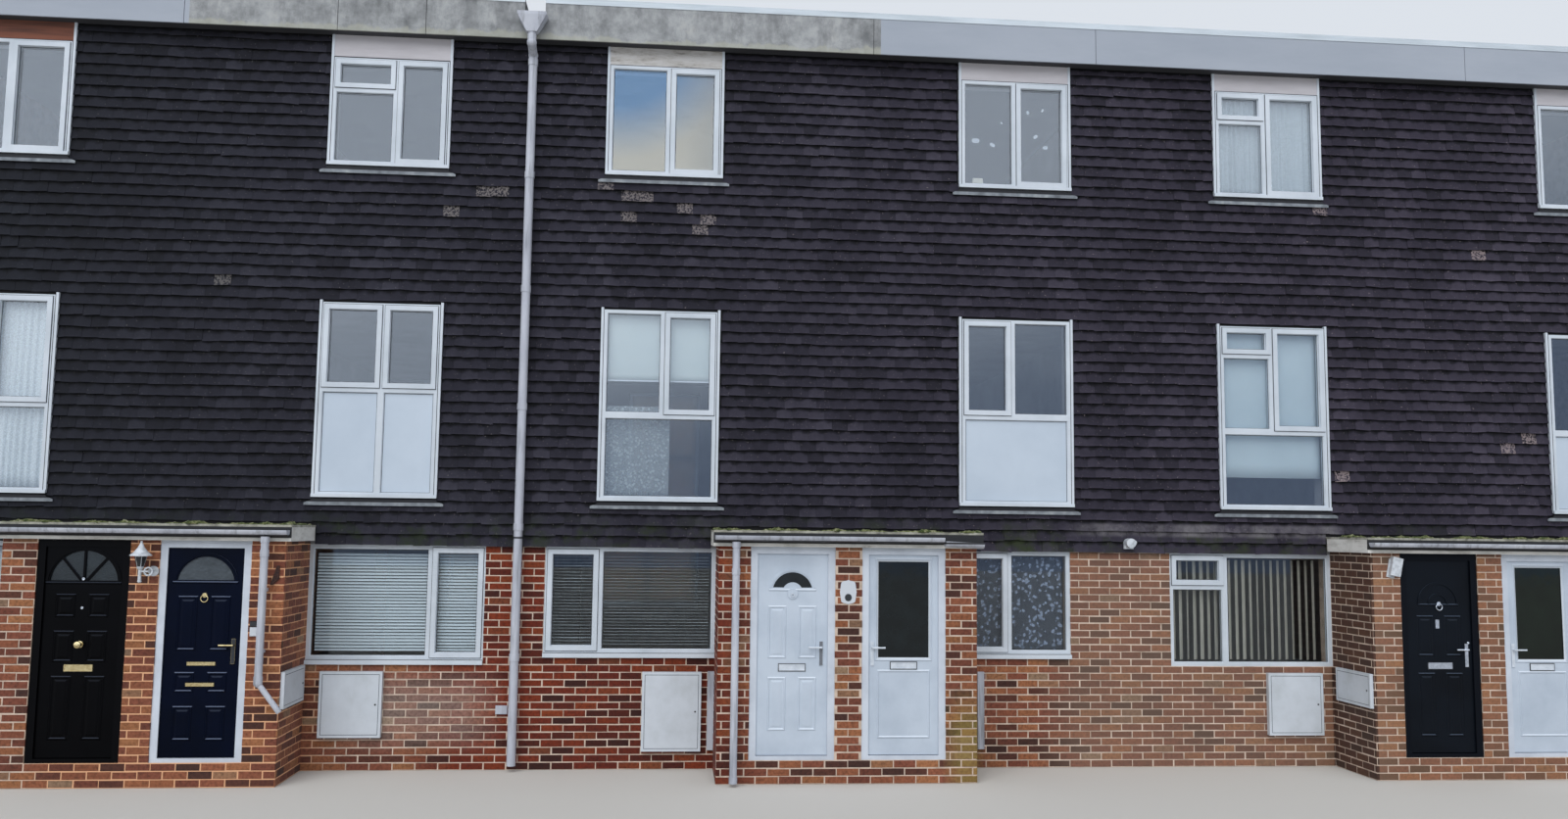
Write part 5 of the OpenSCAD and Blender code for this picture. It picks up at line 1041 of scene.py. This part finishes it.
# Dark backplate under the navy door's lever, and a grey one under the third door's.
PLATE_W, PLATE_IN, PLATE_BEHIND, PLATE_T = 0.036, 0.0015, 0.009, 0.0012
plate_coating = clouded("dull_grey_plate_coating", 30.0, [(0.3, "#5f6369"), (0.7, "#74787f")], Roughness=0.55)
for number, material in ((2, dark_plastic), (3, plate_coating)):
    low, high = min(solids("door_fittings_%d" % number), key=lambda b: b[0][1])
    plate = oblong(high[0] - PLATE_W + PLATE_IN, high[0] - PLATE_IN, low[2] + PLATE_IN, high[2] - PLATE_IN)
    mesh_piece("lever_plate_%d" % number, *slab(plate, high[1] - PLATE_BEHIND, PLATE_T), material,
               body="door_%d" % number)

# Door bell and key box on the pier beside the navy door.
for name, place, material, thick in (("door_bell", (-5.690, -5.622, 1.392, 1.478), enamel, 0.022),
                                     ("key_box", (-5.690, -5.622, 1.484, 1.536), dark_plastic, 0.03)):
    mesh_piece(name, *slab(oblong(*place), porch_front - 0.001, thick), material)


# Blinds and curtains behind the windows.
# Roller blinds and gathered nets of thin cloth, venetian blinds of bent aluminium slats and
# upright louvres of stiff sheet, as the houses have them. At the rear all windows have blinds.
blind_cloth = clouded("white_blind_cloth", 2.0, [(0.3, "#c1c9c8"), (0.7, "#cfd6d3")], Roughness=0.9,
                      Subsurface_Weight=0.1)
old_blind = clouded("aged_blind_cloth", 2.0, [(0.3, "#c0ccd0"), (0.7, "#ccd7da")], Roughness=0.9,
                    Subsurface_Weight=0.1)
slat_enamel = surface("enamelled_aluminium_slats", "#cbd6dc", Roughness=0.4)[0]
louvre_sheet = clouded("beige_louvre_sheet", 9.0, [(0.3, "#b3b0a2"), (0.7, "#cdc9bb")], stretch=(1, 1, 0.2),
                       Roughness=0.8)


def lace(name, code, scale, low, high, clear):
    """Net whose pattern of closed cloth stands in open mesh: the share of light let through
    is clear where the noise is over high and falls to a quarter of that under low."""
    made, tree, shader = surface(name, code, Roughness=0.9)
    place = put(tree, "TexCoord").outputs["Object"]
    flower = put(tree, "TexVoronoi", {"Scale": scale, "Smoothness": 0.4}, {"Vector": place},
                 feature="SMOOTH_F1")
    petal = put(tree, "TexNoise", {"Scale": scale * 2.4, "Detail": 4.0}, {"Vector": place})
    both = put(tree, "Math", links={0: flower.outputs["Distance"], 1: petal}, operation="MULTIPLY")
    closed = put(tree, "MapRange", {"From Min": low, "From Max": high, "To Min": 1 - clear / 4,
                                    "To Max": 1 - clear}, {"Value": both})
    feed(tree, closed, shader.inputs["Alpha"])
    return made


plain_net = lace("plain_white_net", "#dce3e6", 60.0, 0.1, 0.3, 0.3)
flowered_net = lace("flowered_white_net", "#98a6bd", 21.0, 0.12, 0.2, 0.91)
dim_net = lace("old_grey_net", "#a9b2b6", 26.0, 0.13, 0.22, 0.6)
soft_net = lace("soft_white_net", "#aeb9be", 60.0, 0.1, 0.3, 0.32)
CHEEK, FRAME_DEPTH = 0.026, 0.070
UPPER_SET, GROUND_SET = 0.016, 0.010
REVEAL, GROUND_REVEAL = 0.028, 0.03
NET_T, BLIND_T = 0.001, 0.0008
upper_y = float(min(b[0][1] for b in second_frames)) + UPPER_SET + FRAME_DEPTH + REVEAL
ground_y = front + GROUND_SET + FRAME_DEPTH + GROUND_REVEAL
rng = np.random.default_rng(33)


def reveal(boxes, house, side=-1):
    """Left, right, foot and head of one window's opening, houses counted from 0 at the left.
    The upper windows lie between the cheeks of their side boards."""
    low, high = sorted(on_side(boxes, side), key=lambda b: b[0][0])[house]
    inset = CHEEK if low[2] > tile_low[2] else 0.0
    return low[0] + inset, high[0] - inset, low[2], high[2]


def two_sided(sheet, thick):
    """Closes a grid of points into a thin cloth: a front, a back set behind it, and four
    edges."""
    rows, columns = sheet.shape[:2]
    back = sheet + [0, thick, 0]
    grid = np.arange(rows * columns).reshape(rows, columns)
    front_faces = np.stack([grid[:-1, :-1], grid[1:, :-1], grid[1:, 1:], grid[:-1, 1:]], 2).reshape(-1, 4)
    back_faces = front_faces[:, ::-1] + rows * columns
    rim = np.concatenate([grid[0], grid[1:, -1], grid[-1, -2::-1], grid[-2:0:-1, 0]])
    rim_back = rim + rows * columns
    edge = np.stack([rim, np.roll(rim, -1), np.roll(rim_back, -1), rim_back], 1)
    points = np.concatenate([sheet.reshape(-1, 3), back.reshape(-1, 3)])
    return points, np.concatenate([front_faces, back_faces, edge])


def net(name, material, x0, x1, z0, z1, y, folds, depth):
    """Cloth that hangs from a wire. Its depth is a wave along the width, with its phase and
    height wandering, and it swells from head to foot. Its flat width is measured along it."""
    s = np.linspace(0, 1, folds * 12 + 1)
    t = np.linspace(0, 1, 14)[:, None]
    phase = 2 * np.pi * folds * s + 1.1 * waves(s, rng, 0.08, 0.6, 4)
    height = depth * (0.75 + 0.3 * waves(s, rng, 0.1, 0.7, 4))
    swell = 0.55 + 0.45 * t ** 0.7
    drift = 0.5 * waves(s[None] + 0.05 * t, rng, 0.2, 0.9, 3)
    depth_here = height * swell * np.sin(phase + drift * t)
    sheet = np.stack([x0 + (x1 - x0) * s + 0 * t, y + depth_here, z1 + (z0 - z1) * t + 0 * s], 2)
    cloth = mesh_piece(name, *two_sided(sheet, NET_T), material, smooth=True)


def roller(name, material, x0, x1, z0, z1, y, bow=0.006):
    """Flat blind cloth on a roller, bowed a little across its width."""
    s, t = np.linspace(-1, 1, 13), np.linspace(0, 1, 12)[:, None]
    x = x0 + (x1 - x0) * (s + 1) / 2 + 0 * t
    z = z1 + (z0 - z1) * t + 0.001 * waves(s, rng, 0.4, 2.0, 3) * t
    deep = y + bow * t * (1 - s ** 2) * rng.uniform(-1, 1) + 0 * s
    blind = mesh_piece(name, *two_sided(np.stack([x, deep, z], 2), BLIND_T), material, smooth=True)


# Second floor: gathered nets in the fifth house, the others are open to the room.
x0, x1, z0, z1 = reveal(second_frames, 4)
for side, a, b in (("left", x0 + 0.05, x0 + 0.5), ("right", x0 + 0.5, x1 - 0.05)):
    net("second_net_" + side, soft_net, a, b, z0 + 0.05, z1 - 0.25, upper_y, 7, 0.022)

# First floor: roller blinds over the upper lights of the third and fifth houses, nets below.
MULLION_AT, BLIND_GAP, BLIND_SIDE, BLIND_HEAD = 0.63, 0.012, 0.03, 0.04
SHORT_BLIND, BAR_FOOT, BAR_HEAD, BAR_T = 0.755, 0.768, 0.752, 0.006
x0, x1, z0, z1 = reveal(first_frames, 2)
middle = x0 + MULLION_AT
lights = (("left", x0 + BLIND_SIDE, middle - BLIND_GAP), ("right", middle + BLIND_GAP, x1 - BLIND_SIDE))
for side, a, b in lights:
    roller("first_blind_3_" + side, blind_cloth, a, b, z1 - SHORT_BLIND, z1 - BLIND_HEAD, upper_y)
net("first_net_3", dim_net, x0 + 0.03, x0 + 0.71, z0 + 0.05, z0 + 1.0, upper_y + 0.03, 6, 0.01)
for side, a, b in lights:
    bar = oblong(a, b, z1 - BAR_FOOT, z1 - BAR_HEAD)
    mesh_piece("blind_bar_" + side, *slab(bar, upper_y - BAR_T, BAR_T), enamel)
x0, x1, z0, z1 = reveal(first_frames, 4)
roller("first_blind_5", old_blind, x0 + BLIND_SIDE, x1 - BLIND_SIDE, z0 + 0.35, z1 - BLIND_HEAD, upper_y)
x0, x1, z0, z1 = reveal(first_frames, 0)
net("first_net_1", plain_net, x0 + 0.05, x1 - 0.05, z0 + 0.05, z1 - 0.08, upper_y, 16, 0.016)

# Ground floor: closed venetian blinds, open ones, flowered nets and upright louvres. The real
# slats stand 21 mm apart, and are drawn coarser so that they show.
SLAT_PITCH, SLAT_W, SLAT_T, SLAT_CROWN = 0.032, 0.031, 0.0005, 0.0022
SLAT_SAG, SLAT_OFF, SLAT_TWIST = 0.0012, 0.0006, 0.7


def slats(x0, x1, z0, z1, y, tilt, loose):
    """Venetian slats: arcs bent across their width, one a pitch, each turned by tilt degrees
    and up to loose degrees more or less, and sagging a millimetre between its ladders."""
    z = np.arange(z1 - SLAT_PITCH, z0, -SLAT_PITCH)
    count = len(z)
    turn = np.radians(tilt + rng.normal(0, loose / 2, count))[:, None]
    c = np.linspace(-0.5, 0.5, 4)[None] * SLAT_W
    crown = SLAT_CROWN * (1 - (2 * c / SLAT_W) ** 2)
    rings = []
    for sag, x in ((0, x0), (SLAT_SAG, (x0 + x1) / 2), (0, x1)):
        twist = turn + np.radians(rng.normal(0, SLAT_TWIST, (count, 1)))
        for lift in (crown, crown - SLAT_T):
            flat_y = c * np.cos(twist) - lift * np.sin(twist)
            flat_z = c * np.sin(twist) + lift * np.cos(twist)
            drop = z[:, None] + flat_z - sag + rng.normal(0, SLAT_OFF, (count, 1))
            rings.append(np.stack([np.full_like(drop, x), y + flat_y, drop], 2))
    ring = np.stack([np.concatenate([a, b[:, ::-1]], 1) for a, b in zip(rings[0::2], rings[1::2])], 1)
    caps = np.array([[0, 7, 6, 1], [1, 6, 5, 2], [2, 5, 4, 3]])
    one = np.concatenate([bands(3, 8), caps[:, ::-1], caps + 16])
    return ring.reshape(-1, 3), repeated(one, 24, count)


for house, side, end, start, tilts, loose in ((1, 0.06, 1.19, 1.23, (50, 46), 5.0),
                                              (2, 0.07, 0.53, 0.60, (-3, -4), 3.0)):
    x0, x1, z0, z1 = reveal(ground_windows, house)
    spans = ((x0 + side, x0 + end), (x0 + start, x1 - side))
    blinds = [slats(a, b, z0 + 0.07, z1 - 0.07, ground_y, tilt, loose) for (a, b), tilt in zip(spans, tilts)]
    mesh_piece("venetian_blinds_%d" % (house + 1), *joined(blinds), slat_enamel)
x0, x1, z0, z1 = reveal(ground_windows, 3)
for side, a, b, folds in (("left", x0 + 0.06, x0 + 0.52, 6), ("right", x0 + 0.52, x1 - 0.06, 7)):
    net("ground_net_4_" + side, flowered_net, a, b, z0 + 0.04, z1 - 0.06, ground_y, folds, 0.018)
for house in (0, 5):
    x0, x1, z0, z1 = reveal(ground_windows, house)
    net("ground_net_%d" % (house + 1), plain_net, x0 + 0.06, x1 - 0.06, z0 + 0.04, z1 - 0.06, ground_y,
        16, 0.018)

LOUVRE_W, LOUVRE_PITCH, LOUVRE_TURN, LOUVRE_T = 0.089, 0.079, 46.0, 0.0007
x0, x1, z0, z1 = reveal(ground_windows, 4)
at_x = np.arange(x0 + 0.09, x1 - 0.06, LOUVRE_PITCH)[:, None]
turn = np.radians(LOUVRE_TURN + rng.normal(0, 4, len(at_x)))[:, None]
foot = z0 + 0.06 + rng.normal(0, 0.002, len(at_x))[:, None]
ends = np.array([-1, 1, 1, -1]) * LOUVRE_W / 2
x = at_x + np.cos(turn) * ends
y = ground_y + 0.02 + np.sin(turn) * ends + [0, 0, LOUVRE_T, LOUVRE_T]
points = np.concatenate([np.stack([x, y, z + 0 * x], 2) for z in (foot, z1 - 0.07)], 1)
mesh_piece("upright_louvres", points.reshape(-1, 3), repeated(BOX_FACES, 8, len(at_x)), louvre_sheet)

# Small paper shapes hung behind the upper window of the fourth house, and a box on its sill.
PAPER_AT = ((1.488, 6.73, 0.036), (1.675, 6.69, 0.026), (1.78, 6.94, 0.012), (2.074, 7.07, 0.018),
            (2.241, 7.1, 0.016), (2.161, 6.8, 0.024), (2.27, 6.68, 0.025))
SILL_BOX, SILL_BOX_T = [(1.45, 6.235), (1.58, 6.235), (1.57, 6.315), (1.46, 6.315)], 0.03
paper = surface("white_paper_shapes", "#b4bac2", Roughness=0.8)[0]
turn = np.arange(14) * 2 * np.pi / 14
for number, (x, z, r) in enumerate(PAPER_AT):
    heart = r * (1 + 0.25 * np.cos(2 * turn + number))
    outline = np.stack([x + heart * np.cos(turn), z + heart * np.sin(turn)], 1)
    mesh_piece("paper_shape_%d" % (number + 1), *slab(outline, upper_y - 0.008, 0.001), paper)
mesh_piece("sill_box", *slab(SILL_BOX, upper_y + 0.03, SILL_BOX_T), louvre_sheet)

# Rear: one blind behind each window, let down to the sill.
BLIND_IN = 0.05
for storey, boxes, y in (("ground", ground_windows, -ground_y), ("first", first_frames, -upper_y),
                         ("second", second_frames, -upper_y)):
    for house in range(6):
        x0, x1, z0, z1 = reveal(boxes, house, 1)
        roller("rear_blind_%s_%d" % (storey, house + 1), blind_cloth, x0 + BLIND_IN, x1 - BLIND_IN,
               z0 + BLIND_IN, z1 - BLIND_IN, y)


bpy.context.scene.view_settings.view_transform = "Standard"
